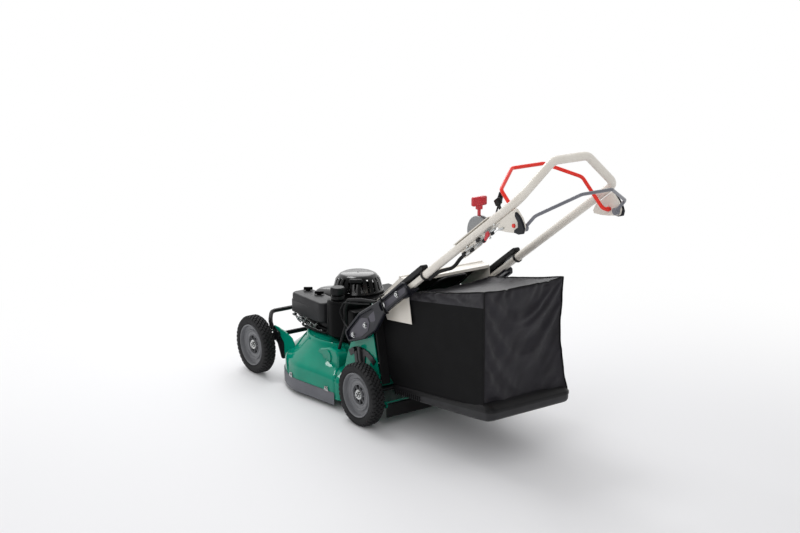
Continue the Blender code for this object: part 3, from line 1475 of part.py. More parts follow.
def fold_latch(side, looks):
    """The long lever on top of a handle tube that locks the folding joint."""
    name = "fold_latch_left" if side > 0 else "fold_latch_right"
    base = HANDLE_RADIUS + 0.0020 + SEAT
    swing = 0.009
    rear = circle((LATCH_PIVOT, base + swing), swing, 4, -math.pi / 2, math.pi)
    corners = [(0.030, base), *rear, (0.150, base + 0.018), (0.040, base + 0.016), (0.026, base + 0.008)]
    low, high = mirrored((HANDLE_X - 0.0125, HANDLE_X + 0.0125), side)
    latch = prism(name, handle_outline(corners), "X", low, high, looks["black"], 0.002)
    pivot = on_handle(LATCH_PIVOT, base + swing, side * HANDLE_X)
    return latch, pivot


# Bails

def brake_bail(looks):
    """The red blade brake bail, with a ball on its right end."""
    out = HANDLE_X + PLATE_THICKNESS / 2 + 0.004
    half = [(out, *BRAKE_PIVOT), (BRAKE_BEND_X, *BRAKE_PIVOT), (BRAKE_BEND_X, *BRAKE_BEND), (BRAKE_TOP_X, *BRAKE_TOP)]
    path = half + [(-x, y, z) for x, y, z in reversed(half)]
    bail = tube("blade_brake_bail", path, BRAKE_RADIUS, looks["red"], 0.022, 2, 1)
    ball = [(0.0045, -0.005), (0.0085, -0.0005), (0.0085, 0.0055), (0.0045, 0.010)]
    face = HANDLE_X - PLATE_THICKNESS / 2 - 0.006
    knob = revolve("ball", [(r, -face + h) for r, h in ball], "X", (0, *BRAKE_PIVOT), 10, looks["red"])
    return fuse(bail, [knob])


def drive_bail(looks):
    """The grey drive bail with its dark hub bosses."""
    inner = HANDLE_X - PLATE_THICKNESS / 2 - 0.0008
    half = [
        (DRIVE_BEND_X + 0.002, *DRIVE_PIVOT),
        (DRIVE_BEND_X, *DRIVE_BEND),
        (DRIVE_TOP_X, *DRIVE_TOP),
    ]
    path = half + [(-x, y, z) for x, y, z in reversed(half)]
    bail = tube("drive_bail", path, DRIVE_RADIUS, looks["grey"], 0.020, 2, 1)
    hubs = []
    for side in (1, -1):
        profile = [(0.012, side * (inner - 0.012)), (0.012, side * inner), (DRIVE_RADIUS, side * inner), (DRIVE_RADIUS, side * (HANDLE_X + 0.009))]
        hubs.append(revolve("hub", profile, "X", (0, *DRIVE_PIVOT), 12, looks["grey"]))
    return fuse(bail, hubs)


# Rear cover and bag

def rear_cover(looks):
    """The folded sheet over the bag's mouth, curled round its hinge pin."""
    y, z = COVER_HINGE
    curl = 0.0075
    run = Vector((COVER_BEND[0] - y, COVER_BEND[1] - z)).normalized()
    up = Vector((-run.y, run.x))
    start = Vector(COVER_HINGE) + up * (curl - COVER_SHEET)
    sheet = COVER_SHEET
    bend = Vector(COVER_BEND)
    lip = Vector(COVER_LIP)
    outline = [
        tuple(start),
        tuple(bend - up * 0.0),
        tuple(lip),
        (lip.x, lip.y - 0.010),
        (lip.x - sheet, lip.y - 0.010),
        (lip.x - sheet, lip.y - sheet),
        (bend.x + 0.0012, bend.y - sheet),
        tuple(start - up * sheet),
    ]
    plate = prism("rear_cover", outline, "X", -COVER_HALF, COVER_HALF, looks["cream"])
    barrel = cylinder("curl", "X", (0, *COVER_HINGE), curl, -COVER_HALF, COVER_HALF, looks["cream"], 14)
    pieces = [barrel]
    flange = [
        (0.000, 0.4495),
        (COVER_BEND[0], COVER_BEND[1] - sheet / 2),
        (COVER_LIP[0] - sheet / 2, COVER_LIP[1] - sheet / 2),
        (0.167, 0.483),
        (0.183, 0.400),
        (0.041, 0.383),
    ]
    for side in (1, -1):
        low, high = mirrored((COVER_HALF - sheet, COVER_HALF), side)
        pieces.append(prism("flange", flange, "X", low, high, looks["cream"]))
    rib = cylinder("bead", "X", (0, COVER_BEND[0] - 0.002, COVER_BEND[1] - 0.0005), 0.004, -COVER_HALF - 0.002, COVER_HALF + 0.002, looks["cream"], 8)
    pieces.append(rib)
    cover = fuse(plate, pieces)
    pin = cylinder("bore", "X", (0, *COVER_HINGE), COVER_PIN_RADIUS + RUN, -0.3, 0.3, looks["cream"], 12)
    return cut(cover, [pin])


def cover_pin(looks):
    """The rear cover's hinge pin, through both lugs."""
    reach = COVER_HALF + 0.0085
    return cylinder("cover_hinge_pin", "X", (0, *COVER_HINGE), COVER_PIN_RADIUS - 0.0001, -reach, reach, looks["zinc"], 12)


def mouth_point(z, behind=0.0):
    """A point of the bag's mouth plane, which leans like the tower's rear edge."""
    slope = (TOWER_REAR_TOP - TOWER_REAR_LOW) / (TOWER_TOP - TOWER_LOW)
    lean = math.hypot(1.0, slope)
    offset = (SEAT + FRAME_RADIUS + 0.0025 + behind) * lean
    return (tower_rear(z) + offset, z)


FRAME_LOW = 0.200
FRAME_TOP = 0.388
BAG_BEHIND = FRAME_RADIUS + SEAT


def bag_frame(looks):
    """The wire frame round the bag's mouth, with two hooks and a carrying handle."""
    half = BAG_HALF - FRAME_RADIUS
    corners = [(-half, FRAME_LOW), (half, FRAME_LOW), (half, FRAME_TOP), (-half, FRAME_TOP)]
    ring = [(x, *mouth_point(z)) for x, z in corners]
    frame = tube("bag_frame", ring, FRAME_RADIUS, looks["dark"], 0.02, 1, 1, closed=True)
    hooks = []
    top = PEG_Z + PEG_RADIUS + 0.0004
    for side in (1, -1):
        low, high = mirrored((half - 0.004, TOWER_HALF - SHEET - 0.004), side)
        hooks.append(box("hook", (low, PEG_Y - 0.010, top), (high, mouth_point(top)[0] + 0.001, top + 0.005), looks["dark"]))
    lift = mouth_point(FRAME_TOP)
    half = [(0.072, *lift), (0.072, lift[0], lift[1] + 0.014), (0.064, 0.150, 0.515), (0.052, 0.197, 0.547)]
    path = half + [(-x, y, z) for x, y, z in reversed(half)]
    grip = tube("grip", path, FRAME_RADIUS - SEAT, looks["grey"], 0.02, 1, 1)
    return fuse(frame, [*hooks, grip])


def cloth_foot(y):
    """The height of the cloth's lower edge, inside the tray's rim."""
    (front_y, front_z), (rear_y, rear_z) = TRAY_RIM
    return front_z + (rear_z - front_z) * (y - front_y) / (rear_y - front_y) - TRAY_LAP


def bag_ring(x, shrink, hollow):
    """The bag's side view at one x, drawn in by an amount; the hollow runs out at its mouth and foot."""
    top = 0.392 - 1.1 * shrink
    rear = BAG_REAR - shrink
    roof = [
        (BAG_TOP_FRONT[0], BAG_TOP_FRONT[1] - shrink),
        (BAG_TOP_REAR[0] - 0.8 * shrink, BAG_TOP_REAR[1] - shrink),
        (rear - 0.010, 0.400),
    ]
    if hollow:
        roof = roof + [(rear, cloth_foot(rear)), (rear, 0.090)]
        mouth = [mouth_point(0.090, -0.050), mouth_point(top, -0.050), mouth_point(top, BAG_BEHIND)]
    else:
        foot = TRAY_RIM[0][0] + TRAY_WALL + FREE
        roof = roof + [(rear, cloth_foot(rear))]
        mouth = [
            (foot, cloth_foot(foot)),
            (foot, TRAY_RIM[0][1] + FREE),
            mouth_point(FRAME_LOW - 0.012, BAG_BEHIND),
            mouth_point(top, BAG_BEHIND),
        ]
    return [(x, y, z) for y, z in mouth + roof]




def bag_cloth(looks):
    """The fabric hood of the bag, open at its mouth and over the tray."""
    edge = ((0.0, 0.016), (0.005, 0.006), (0.016, 0.0))

    def hood(wall, hollow):
        rings = []
        for (inward, shrink), share in zip(edge, (0.4, 0.75, 1.0)):
            x = BAG_HALF - inward - wall * (1.35 - share)
            rings.append((x, shrink + wall * share))
        rings = rings + [(-x, shrink) for x, shrink in reversed(rings)]
        return loft("bag_cloth", [bag_ring(x, shrink, hollow) for x, shrink in rings], looks["fabric"])

    return cut(hood(0.0, False), [hood(BAG_WALL, True)])


def tray_outline(inset):
    """The tray's side view: a sloping floor with raised front and rear ends."""
    (front_y, front_z), (rear_y, rear_z) = TRAY_RIM
    return [
        (front_y + inset, front_z),
        (front_y + 0.004 + inset, 0.118 + inset),
        (front_y + 0.026, 0.114 + inset),
        (0.225, 0.126 + inset),
        (rear_y - 0.043, 0.160 + inset),
        (rear_y - 0.009 - inset, 0.174 + inset),
        (rear_y - inset, rear_z),
    ]


def bag_tray(looks):
    """The moulded tray under the bag, ribbed along its front edge."""
    def solid(inset, top):
        floor = tray_outline(inset)
        half = TRAY_HALF - inset
        if top:
            floor = [(floor[0][0], floor[0][1] + top), *floor[1:-1], (floor[-1][0], floor[-1][1] + top)]
        return prism("bag_tray", floor, "X", -half, half, looks["black"], 0.0 if top else 0.006)

    tray = solid(0.0, 0.0)
    tray = cut(tray, [solid(TRAY_WALL, 0.02)])
    ribs = []
    for side in (1, -1):
        for k in range(TRAY_RIBS):
            y = 0.082 + 0.018 * k
            low, high = mirrored((TRAY_HALF - 0.001, TRAY_HALF + 0.002), side)
            foot = 0.116 + 0.09 * (y - 0.092) if y > 0.092 else 0.118
            ribs.append(box("rib", (low, y, foot + 0.004), (high, y + 0.006, foot + 0.022), looks["black"]))
    return fuse(tray, [join("ribs", ribs)])


def trailing_skirt(looks):
    """The rubber skirt that hangs from a rod across the tail."""
    y, z = SKIRT_HINGE
    half = TOWER_HALF - SHEET - 0.002
    reach = TOWER_HALF + 0.003
    rod = cylinder("trailing_skirt", "X", (0, y, z), SKIRT_ROD, -reach, reach, looks["rubber"], 10)
    sheet = box("sheet", (-half, y - SKIRT_THICKNESS / 2, SKIRT_LOW), (half, y + SKIRT_THICKNESS / 2, z), looks["rubber"])
    return fuse(rod, [sheet])


# Assembly

def clear_scene():
    for old in list(bpy.data.objects):
        bpy.data.objects.remove(old)


def main():
    clear_scene()
    looks = all_materials()
    bodies = Bodies()
    root = bodies.root
    bodies.carry(
        root,
        [
            make_deck(looks),
            front_bumper(looks),
            front_guard(looks),
            height_sector(looks),
            drive_case(looks),
            gearbox(looks),
            engine_block(looks),
            blower_housing(looks),
            recoil_cover(looks),
            fuel_tank(looks),
            fuel_cap(looks),
            *air_cleaner(looks),
            carburettor(looks),
            muffler(looks),
            spark_plug(looks),
            handle_bracket(1, looks),
            handle_bracket(-1, looks),
            pivot_bolt(1, looks),
            pivot_bolt(-1, looks),
            cover_pin(looks),
            deck_cables(looks),
        ],
    )
    crank = bodies.add("crankshaft", (0, CRANK_Y, BLADE_Z))
    bodies.carry(crank, crank_pieces(looks))
    grip = bodies.add("starter_grip", GRIP_PLACE)
    bodies.carry(grip, [starter_grip(looks)])

    front = bodies.add("front_axle", (0, *FRONT_PIVOT))
    bodies.carry(front, [front_axle(looks), front_lever(looks)])
    rear = bodies.add("rear_axle", (0, *REAR_PIVOT))
    bodies.carry(rear, [rear_axle(looks), rear_lever(looks)])
    shaft = bodies.add("drive_shaft", (0, *REAR_PIVOT))
    bodies.carry(shaft, [drive_shaft(looks)])
    for label, place, carrier in (("front", FRONT_AXLE, front), ("rear", REAR_AXLE, rear)):
        for word, side in (("left", 1), ("right", -1)):
            name = label + "_" + word
            wheel = bodies.add(name + "_wheel", (side * WHEEL_X, *place), carrier)
            bodies.carry(wheel, wheel_pieces(name, place, side, looks))

    handle = bodies.add("handle", (0, *HANDLE_PIVOT))
    bodies.carry(
        handle,
        [
            handle_bar(looks),
            lower_tube(1, looks),
            lower_tube(-1, looks),
            lever_bracket(1, looks),
            lever_bracket(-1, looks),
            console_plate(looks),
            throttle_housing(looks),
            handle_cables(looks),
        ],
    )
    for side in (1, -1):
        latch, place = fold_latch(side, looks)
        holder = bodies.add(latch.name, place, handle)
        bodies.carry(holder, [latch])
    brake = bodies.add("blade_brake_bail", (0, *BRAKE_PIVOT), handle)
    bodies.carry(brake, [brake_bail(looks)])
    drive = bodies.add("drive_bail", (0, *DRIVE_PIVOT), handle)
    bodies.carry(drive, [drive_bail(looks)])
    for lever, place in (
        throttle_lever(looks),
        rod_lever("drive_lever", DRIVE_LEVER_X, QUADRANT_PLACE, 0.150, math.radians(-19), False, looks),
        rod_lever("speed_lever", SPEED_LEVER_X, SPEED_PLACE, 0.062, math.radians(36), True, looks),
    ):
        holder = bodies.add(lever.name, place, handle)
        bodies.carry(holder, [lever])

    cover = bodies.add("rear_cover", (0, *COVER_HINGE))
    bodies.carry(cover, [rear_cover(looks)])
    bag = bodies.add("grass_bag", (0, *mouth_point(PEG_Z)))
    bodies.carry(bag, [bag_frame(looks), bag_cloth(looks), bag_tray(looks)])
    skirt = bodies.add("trailing_skirt", (0, *SKIRT_HINGE))
    bodies.carry(skirt, [trailing_skirt(looks)])


main()
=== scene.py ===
"""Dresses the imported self-propelled lawn mower with its finishes, tread, cloth and small hardware.

Sizes are metres. Places are given as on the mower's drawing, from the rear wheel axis on the ground
plane, and placed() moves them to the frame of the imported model. +X is the mower's left, -Y its front.
"""

from __future__ import annotations

import json
import logging
from collections.abc import Sequence
from dataclasses import dataclass, field
from enum import Enum
from math import ceil, copysign, cos, dist, pi, radians, sin, tan, tanh

import bmesh
import bpy
from mathutils import Matrix, Vector, noise
from mathutils.bvhtree import BVHTree

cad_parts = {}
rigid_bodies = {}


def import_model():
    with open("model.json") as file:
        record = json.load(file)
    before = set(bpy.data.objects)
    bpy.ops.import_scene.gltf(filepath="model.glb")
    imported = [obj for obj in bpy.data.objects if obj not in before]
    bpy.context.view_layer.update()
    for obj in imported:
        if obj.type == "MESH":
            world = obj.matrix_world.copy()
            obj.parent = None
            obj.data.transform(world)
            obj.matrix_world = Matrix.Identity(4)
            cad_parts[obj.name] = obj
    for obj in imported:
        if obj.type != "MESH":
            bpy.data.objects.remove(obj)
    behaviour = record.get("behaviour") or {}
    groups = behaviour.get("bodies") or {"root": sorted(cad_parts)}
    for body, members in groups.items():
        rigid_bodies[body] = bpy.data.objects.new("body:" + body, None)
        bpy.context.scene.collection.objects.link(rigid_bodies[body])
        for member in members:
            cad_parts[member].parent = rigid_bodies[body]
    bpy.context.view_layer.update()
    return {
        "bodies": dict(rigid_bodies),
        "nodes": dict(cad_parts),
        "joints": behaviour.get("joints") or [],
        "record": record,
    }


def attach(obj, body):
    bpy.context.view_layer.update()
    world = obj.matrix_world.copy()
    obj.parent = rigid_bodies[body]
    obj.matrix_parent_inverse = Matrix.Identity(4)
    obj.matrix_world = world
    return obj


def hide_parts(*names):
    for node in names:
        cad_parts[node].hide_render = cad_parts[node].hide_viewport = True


LOG = logging.getLogger("mower")

Piece = bpy.types.Object
Mesh = bmesh.types.BMesh
Tree = bpy.types.NodeTree
Socket = bpy.types.NodeSocket
Pair = tuple[float, float]
Triple = tuple[float, float, float]
Outline = Sequence[Pair]
Places = Sequence[Triple]

MIDDLE_Y = 0.027492  # from the rear wheel axis to the middle of the mower's length
HANDLE_SLOPE = radians(36.0)
HANDLE_PIVOT = (0.086, 0.4545)
HANDLE_X = 0.2
CRANK_Y = -0.4
AXLE_Z = 0.115 * cos(pi / 24)
WHEEL_X = 0.264
WHEELBASE = 0.719
SIDES = ((1, "left"), (-1, "right"))


class Axis(Enum):
    """The three directions of the frame."""

    X = 0
    Y = 1
    Z = 2


class Relief(Enum):
    """The surface patterns that a finish can carry."""

    ORANGE_PEEL = "orange peel"
    MOULDED = "moulded grain"
    CAST = "cast skin"
    BRUSHED = "brushed"
    RUBBER = "rubber bloom"
    WOVEN = "woven"


def linear(colour: str) -> tuple[float, float, float, float]:
    """Turns an sRGB hex colour into linear light.

    Args:
        colour: The colour as "#RRGGBB".

    Returns:
        Red, green, blue and an alpha of one.
    """
    values = [int(colour[i : i + 2], 16) / 255 for i in (1, 3, 5)]
    lit = [v / 12.92 if v <= 0.04045 else ((v + 0.055) / 1.055) ** 2.4 for v in values]
    return (lit[0], lit[1], lit[2], 1.0)


def add(tree: Tree, kind: str, inputs: dict | None = None, **settings: object) -> bpy.types.Node:
    """Adds a node with its settings, values and links.

    Args:
        tree: The node tree.
        kind: The node's type.
        inputs: Values or output sockets by input name or number.
        settings: The node's own properties.

    Returns:
        The new node.
    """
    node = tree.nodes.new(kind)
    for name, value in settings.items():
        setattr(node, name, value)
    for key, value in (inputs or {}).items():
        if isinstance(value, Socket):
            tree.links.new(value, node.inputs[key])
        else:
            node.inputs[key].default_value = value
    return node


@dataclass(frozen=True)
class Finish:
    """One real surface: its colour, its gloss and the relief that its making leaves.

    Args:
        name: What the surface is made of and how.
        slot: Its material slot in the record; not used.
        colour: Its main colour.
        shade: The colour that it drifts towards in patches.
        roughness: How matt it is.
        relief: The pattern of its surface.
        grain_mm: The size of that pattern in millimetres.
        depth: The bump's strength.
        metallic: One for bare metal.
        coat: The weight of a clear gloss layer.
        sheen: The weight of the soft rim of fibres or dust.
        specular: The strength of its own reflection; one half is plain plastic.
        coat_ior: The clear layer's index; a low one shows only at a glancing angle.
    """

    name: str
    slot: str
    colour: str
    shade: str
    roughness: float
    relief: Relief
    grain_mm: float
    depth: float
    metallic: float = 0.0
    coat: float = 0.0
    sheen: float = 0.0
    specular: float = 0.5
    coat_ior: float = 1.5

    def make(self) -> bpy.types.Material:
        """Builds the node material.

        Returns:
            The material, named for the finish.
        """
        made = bpy.data.materials.new(self.name)
        made.use_nodes = True
        tree = made.node_tree
        shader = tree.nodes["Principled BSDF"]
        settings = {
            "Metallic": self.metallic, "Coat Weight": self.coat, "Coat Roughness": 0.06,
            "Coat IOR": self.coat_ior, "Specular IOR Level": self.specular, "Sheen Weight": self.sheen,
        }
        for name, value in settings.items():
            shader.inputs[name].default_value = value
        place = add(tree, "ShaderNodeTexCoord").outputs["UV" if self.relief is Relief.WOVEN else "Object"]
        height = self.pattern(tree, place)
        # Slow patches, 60 mm across, keep a large panel from looking like one flat colour
        patches = add(tree, "ShaderNodeTexNoise", {"Vector": place, "Scale": 1 / 0.06, "Detail": 3.0})
        spread = add(tree, "ShaderNodeMapRange", {0: patches.outputs["Fac"], 1: 0.35, 2: 0.68})
        mix = add(tree, "ShaderNodeMix", {"Factor": spread.outputs[0]}, data_type="RGBA")
        mix.inputs["A"].default_value = linear(self.colour)
        mix.inputs["B"].default_value = linear(self.shade)
        tree.links.new(mix.outputs["Result"], shader.inputs["Base Color"])
        rough = add(tree, "ShaderNodeMapRange", {
            0: height, 3: self.roughness * 0.88, 4: self.roughness * 1.12,
        })
        tree.links.new(rough.outputs[0], shader.inputs["Roughness"])
        bump = add(tree, "ShaderNodeBump", {"Height": height, "Strength": self.depth, "Distance": 0.001})
        tree.links.new(bump.outputs["Normal"], shader.inputs["Normal"])
        return made

    def pattern(self, tree: Tree, place: Socket) -> Socket:
        """Adds the nodes of this finish's relief.

        Args:
            tree: The material's tree.
            place: The coordinates that the pattern follows.

        Returns:
            The socket with the pattern's height, from zero to one.
        """
        scale = 1000.0 / self.grain_mm
        if self.relief is Relief.BRUSHED:
            stretched = add(tree, "ShaderNodeMapping", {"Vector": place, "Scale": (0.06, 1.0, 1.0)})
            lines = add(tree, "ShaderNodeTexNoise", {
                "Vector": stretched.outputs[0], "Scale": scale, "Detail": 4.0,
            })
            return lines.outputs["Fac"]
        if self.relief is Relief.CAST:
            cells = add(tree, "ShaderNodeTexVoronoi", {"Vector": place, "Scale": scale}, feature="SMOOTH_F1")
            return cells.outputs["Distance"]
        if self.relief is Relief.WOVEN:
            return self.weave(tree, place, scale)
        detail = 6.0 if self.relief is Relief.RUBBER else 2.0
        grain = add(tree, "ShaderNodeTexNoise", {"Vector": place, "Scale": scale, "Detail": detail})
        return grain.outputs["Fac"]

    @staticmethod
    def weave(tree: Tree, place: Socket, scale: float) -> Socket:
        """Crosses two bands of threads into a plain weave.

        Args:
            tree: The material's tree.
            place: The cloth's own coordinates in metres.
            scale: Threads in a metre.

        Returns:
            The socket with the height of the threads.
        """
        heights = []
        for direction in ("X", "Y"):
            band = add(
                tree, "ShaderNodeTexWave",
                {"Vector": place, "Scale": scale / 6.283, "Distortion": 0.6, "Detail": 2.0},
                bands_direction=direction,
            )
            heights.append(band.outputs["Fac"])
        crossed = add(tree, "ShaderNodeMath", {0: heights[0], 1: heights[1]}, operation="MULTIPLY")
        return crossed.outputs[0]


class Skin(Enum):
    """Every finish on the mower."""

    # Gloss enamel over pressed steel: a wet, slightly wavy skin that mirrors the lamps
    TEAL = Finish(
        "Teal gloss enamel on pressed steel", "teal_enamel", "#00886F", "#007F68", 0.24, Relief.ORANGE_PEEL,
        4.0, 0.015, coat=1.0, specular=0.0, coat_ior=1.4,
    )
    # Powder enamel over steel tube: even, off-white, with a low satin gloss
    CREAM = Finish(
        "Cream powder enamel on steel", "cream_enamel", "#E4DFD6", "#DDD7CD", 0.36, Relief.ORANGE_PEEL, 3.0,
        0.004, coat=0.2, specular=0.4,
    )
    # The same powder over rod: an even, strong red with a soft highlight along its length
    RED_ROD = Finish(
        "Red powder enamel on steel rod", "red_enamel", "#EE3325", "#E42B1E", 0.34, Relief.ORANGE_PEEL, 3.0,
        0.004, coat=0.25, specular=0.3,
    )
    # Mid grey powder over rod, with the same narrow highlight
    GREY_ROD = Finish(
        "Grey powder enamel on steel rod", "grey_enamel", "#77787F", "#6C6D75", 0.36, Relief.ORANGE_PEEL, 3.0,
        0.004, coat=0.2, specular=0.4,
    )
    # Textured enamel over a casting: bluish dark grey with a fine grit that softens its highlights
    CASTING = Finish(
        "Anthracite enamel on die casting", "anthracite_enamel", "#1C1D25", "#17181F", 0.38, Relief.CAST, 1.6,
        0.08, coat=0.12, specular=0.2,
    )
    # The recessed web of the same casting has caught more light, so it is drawn a shade paler
    CAST_WEB = Finish(
        "Anthracite enamel on cast web", "anthracite_enamel", "#4E4C56", "#46444D", 0.42, Relief.CAST, 1.6,
        0.08, coat=0.1, specular=0.3,
    )
    # Thin black enamel: half glossy, so that the edges of pressed parts catch a line of light
    BLACK_STEEL = Finish(
        "Black enamel on steel", "black_steel", "#151518", "#101012", 0.3, Relief.ORANGE_PEEL, 3.0, 0.04,
        coat=0.15, specular=0.3,
    )
    # Bright zinc plate: pale, slightly yellowed and mirror-like on flats
    ZINC = Finish(
        "Zinc plated steel", "zinc_plate", "#D2D4D6", "#BDBEBB", 0.22, Relief.BRUSHED, 1.2, 0.06,
        metallic=1.0,
    )
    # Ground steel: mid grey, with fine streaks that stretch the highlight
    BLADE = Finish(
        "Ground blade steel", "blade_steel", "#8F9196", "#7C7D80", 0.34, Relief.BRUSHED, 1.0, 0.12,
        metallic=1.0,
    )
    # Die-cast aluminium under soot-black engine paint: its skin is pebbled and only just catches the light
    ALUMINIUM = Finish(
        "Black engine paint on cast aluminium", "cast_aluminium", "#1B1B1E", "#141416", 0.5, Relief.CAST, 1.4,
        0.16, specular=0.3,
    )
    # Bare die casting: dull silver with the same skin
    BARE_CAST = Finish(
        "As-cast aluminium", "cast_aluminium", "#96989A", "#83858A", 0.46, Relief.CAST, 1.4, 0.16,
        metallic=1.0,
    )
    # Glass-filled nylon and polypropylene: near black with a fine spark-eroded grain
    BLACK_PLASTIC = Finish(
        "Moulded black nylon", "black_plastic", "#19191B", "#131314", 0.42, Relief.MOULDED, 0.9, 0.08,
        specular=0.25,
    )
    # The air box is a softer plastic that greys in the sun
    BOX_PLASTIC = Finish(
        "Moulded charcoal polypropylene", "black_plastic", "#2B2B2D", "#242426", 0.46, Relief.MOULDED, 0.9,
        0.1, specular=0.3,
    )
    # Blow-moulded tank: near black and slightly wavy, with only faint reflections
    GLOSS_PLASTIC = Finish(
        "Blow-moulded black tank plastic", "black_plastic", "#0A0A0B", "#070708", 0.3, Relief.MOULDED, 5.0,
        0.01, coat=0.04, specular=0.04,
    )
    # The starter's shroud is polished, so its top turns pale where it mirrors the white room
    SHROUD = Finish(
        "High-gloss black starter shroud plastic", "black_plastic", "#0C0C0D", "#09090A", 0.22,
        Relief.MOULDED, 5.0, 0.01, coat=0.5, specular=0.2,
    )
    # Blow-moulded tray: dull charcoal, paler than the cloth over it
    TRAY_PLASTIC = Finish(
        "Blow-moulded grey-black polyethylene", "black_plastic", "#2E2E30", "#272729", 0.46, Relief.MOULDED,
        1.2, 0.1, specular=0.25,
    )
    # Moulded ABS: a darker and flatter red than the enamelled rod
    RED_PLASTIC = Finish(
        "Moulded red ABS", "red_plastic", "#C9303A", "#BC2830", 0.34, Relief.MOULDED, 1.2, 0.008, coat=0.15,
        specular=0.35,
    )
    # The same ABS in pale grey, with a broad, soft highlight
    GREY_PLASTIC = Finish(
        "Moulded grey ABS", "grey_plastic", "#8C8E90", "#828486", 0.4, Relief.MOULDED, 1.2, 0.01,
    )
    # Injection-moulded wheel: mid grey with a satin skin, brighter where the mould was polished
    WHEEL = Finish(
        "Moulded grey wheel polypropylene", "wheel_plastic", "#77787B", "#6D6E71", 0.34, Relief.MOULDED, 1.4,
        0.05, specular=0.45,
    )
    # The pocket between the hub ribs lies in shade, so it is drawn almost black
    DARK_WHEEL = Finish(
        "Shaded wheel pocket polypropylene", "wheel_plastic", "#1C1D1F", "#161719", 0.5, Relief.MOULDED, 1.4,
        0.08, specular=0.25,
    )
    # Tyre rubber: dry and matt, dark grey under a paler bloom
    TYRE = Finish(
        "Ribbed tyre rubber", "tyre_rubber", "#222223", "#2A2A2B", 0.72, Relief.RUBBER, 2.2, 0.18,
        specular=0.22,
    )
    # Extruded rubber of cables and lips: blacker than the tyre, with a slight shine
    RUBBER = Finish(
        "Extruded black rubber", "skirt_rubber", "#141415", "#1B1B1C", 0.6, Relief.RUBBER, 2.0, 0.12,
        specular=0.2,
    )
    # An even, half matt mid grey on the band round the rim, whose section runs from 15 mm over the floor up
    # past the pan's lower edge at 52 mm
    EDGE_BAND = Finish(
        "Mid grey band round the deck's rim", "anthracite_enamel", "#5C5D63", "#64656B", 0.5,
        Relief.ORANGE_PEEL, 3.0, 0.004,
    )
    # Coated polyester: threads of 0.6 mm drawn at 2.4 mm so that the weave shows in the picture
    CLOTH = Finish(
        "Coated woven polyester", "bag_fabric", "#18161C", "#1E1C23", 0.54, Relief.WOVEN, 2.4, 0.16,
        sheen=0.1, specular=0.3,
    )
    # The stiffened side panels are laminated, so they are flatter and darker than the loose cloth
    PANEL = Finish(
        "Laminated bag side panel", "bag_fabric", "#131314", "#161617", 0.7, Relief.WOVEN, 2.4, 0.06,
        specular=0.1,
    )
    # Painted shade: a dull brown-black sheet with a dusty grain stands under the cream cover for the shade on
    # its underside
    COVER_SHADE = Finish(
        "Painted shade under the discharge cover", "skirt_rubber", "#26241F", "#302D26", 0.8, Relief.RUBBER, 3.0, 0.2,
        specular=0.1,
    )
    # Edge tape: a tight black weave that draws the seams as thin lines
    TAPE = Finish(
        "Woven edge tape", "bag_fabric", "#0F0F10", "#141415", 0.66, Relief.WOVEN, 1.8, 0.2, specular=0.15,
    )


def placed(x: float, y: float, z: float) -> Vector:
    """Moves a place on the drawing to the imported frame."""
    return Vector((x, y - MIDDLE_Y, z))


def side_view(outline: Outline) -> Outline:
    """Moves an outline on the drawing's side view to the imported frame."""
    return [(y - MIDDLE_Y, z) for y, z in outline]


def facing(profile: Outline, side: int) -> Outline:
    """Points a profile's heights to the left for a side of one, or to the right for minus one."""
    return [(radius, height * side) for radius, height in profile]


def mirrored(half: list[Vector]) -> list[Vector]:
    """Carries a path on the mower's left half on over its right half."""
    return half + [Vector((-p.x, p.y, p.z)) for p in reversed(half)]


def on_handle(along: float, above: float, x: float) -> Vector:
    """Gives a place on the sloping handle.

    Args:
        along: How far up the tube from the fold pivot.
        above: How far over the tube's axis.
        x: How far left of the mower's middle.

    Returns:
        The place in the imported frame.
    """
    forward = Vector((0, cos(HANDLE_SLOPE), sin(HANDLE_SLOPE)))
    upward = Vector((0, -sin(HANDLE_SLOPE), cos(HANDLE_SLOPE)))
    return placed(x, *HANDLE_PIVOT) + forward * along + upward * above


def linked(name: str, data: bpy.types.ID) -> Piece:
    """Puts an object for a mesh, lamp or camera into the scene."""
    made = bpy.data.objects.new(name, data)
    bpy.context.scene.collection.objects.link(made)
    return made


def from_bmesh(name: str, mesh: Mesh, crease: float = 35.0) -> Piece:
    """Turns a bmesh into an object with smooth faces and sharp creases.

    Args:
        name: Its name.
        mesh: The shape, which is freed.
        crease: Edges past this angle in degrees stay sharp.

    Returns:
        The new object at the origin.
    """
    data = bpy.data.meshes.new(name)
    mesh.to_mesh(data)
    mesh.free()
    data.shade_smooth()
    data.set_sharp_from_angle(angle=radians(crease))
    return linked(name, data)


def bridge(mesh: Mesh, rings: list[list], around: bool = True) -> None:
    """Fills the bands between neighbouring rings of equal count.

    Args:
        mesh: The mesh that holds the rings.
        rings: The rings' vertices, from one end to the other.
        around: Whether each ring joins its own start.
    """
    for low, high in zip(rings, rings[1:]):
        count = len(low)
        for k in range(count if around else count - 1):
            after = (k + 1) % count
            mesh.faces.new([low[k], low[after], high[after], high[k]])


def lofted(name: str, mesh: Mesh, rings: list[list], crease: float = 35.0, caps: bool = True) -> Piece:
    """Makes an object of the skin over rings of equal count.

    Args:
        name: Its name.
        mesh: The mesh that holds the rings, which is freed.
        rings: The rings' vertices, from one end to the other.
        crease: Edges past this angle in degrees stay sharp.
        caps: Whether both ends are closed.

    Returns:
        The new object.
    """
    bridge(mesh, rings)
    if caps:
        mesh.faces.new(rings[0][::-1])
        mesh.faces.new(rings[-1])
    bmesh.ops.recalc_face_normals(mesh, faces=mesh.faces)
    return from_bmesh(name, mesh, crease)


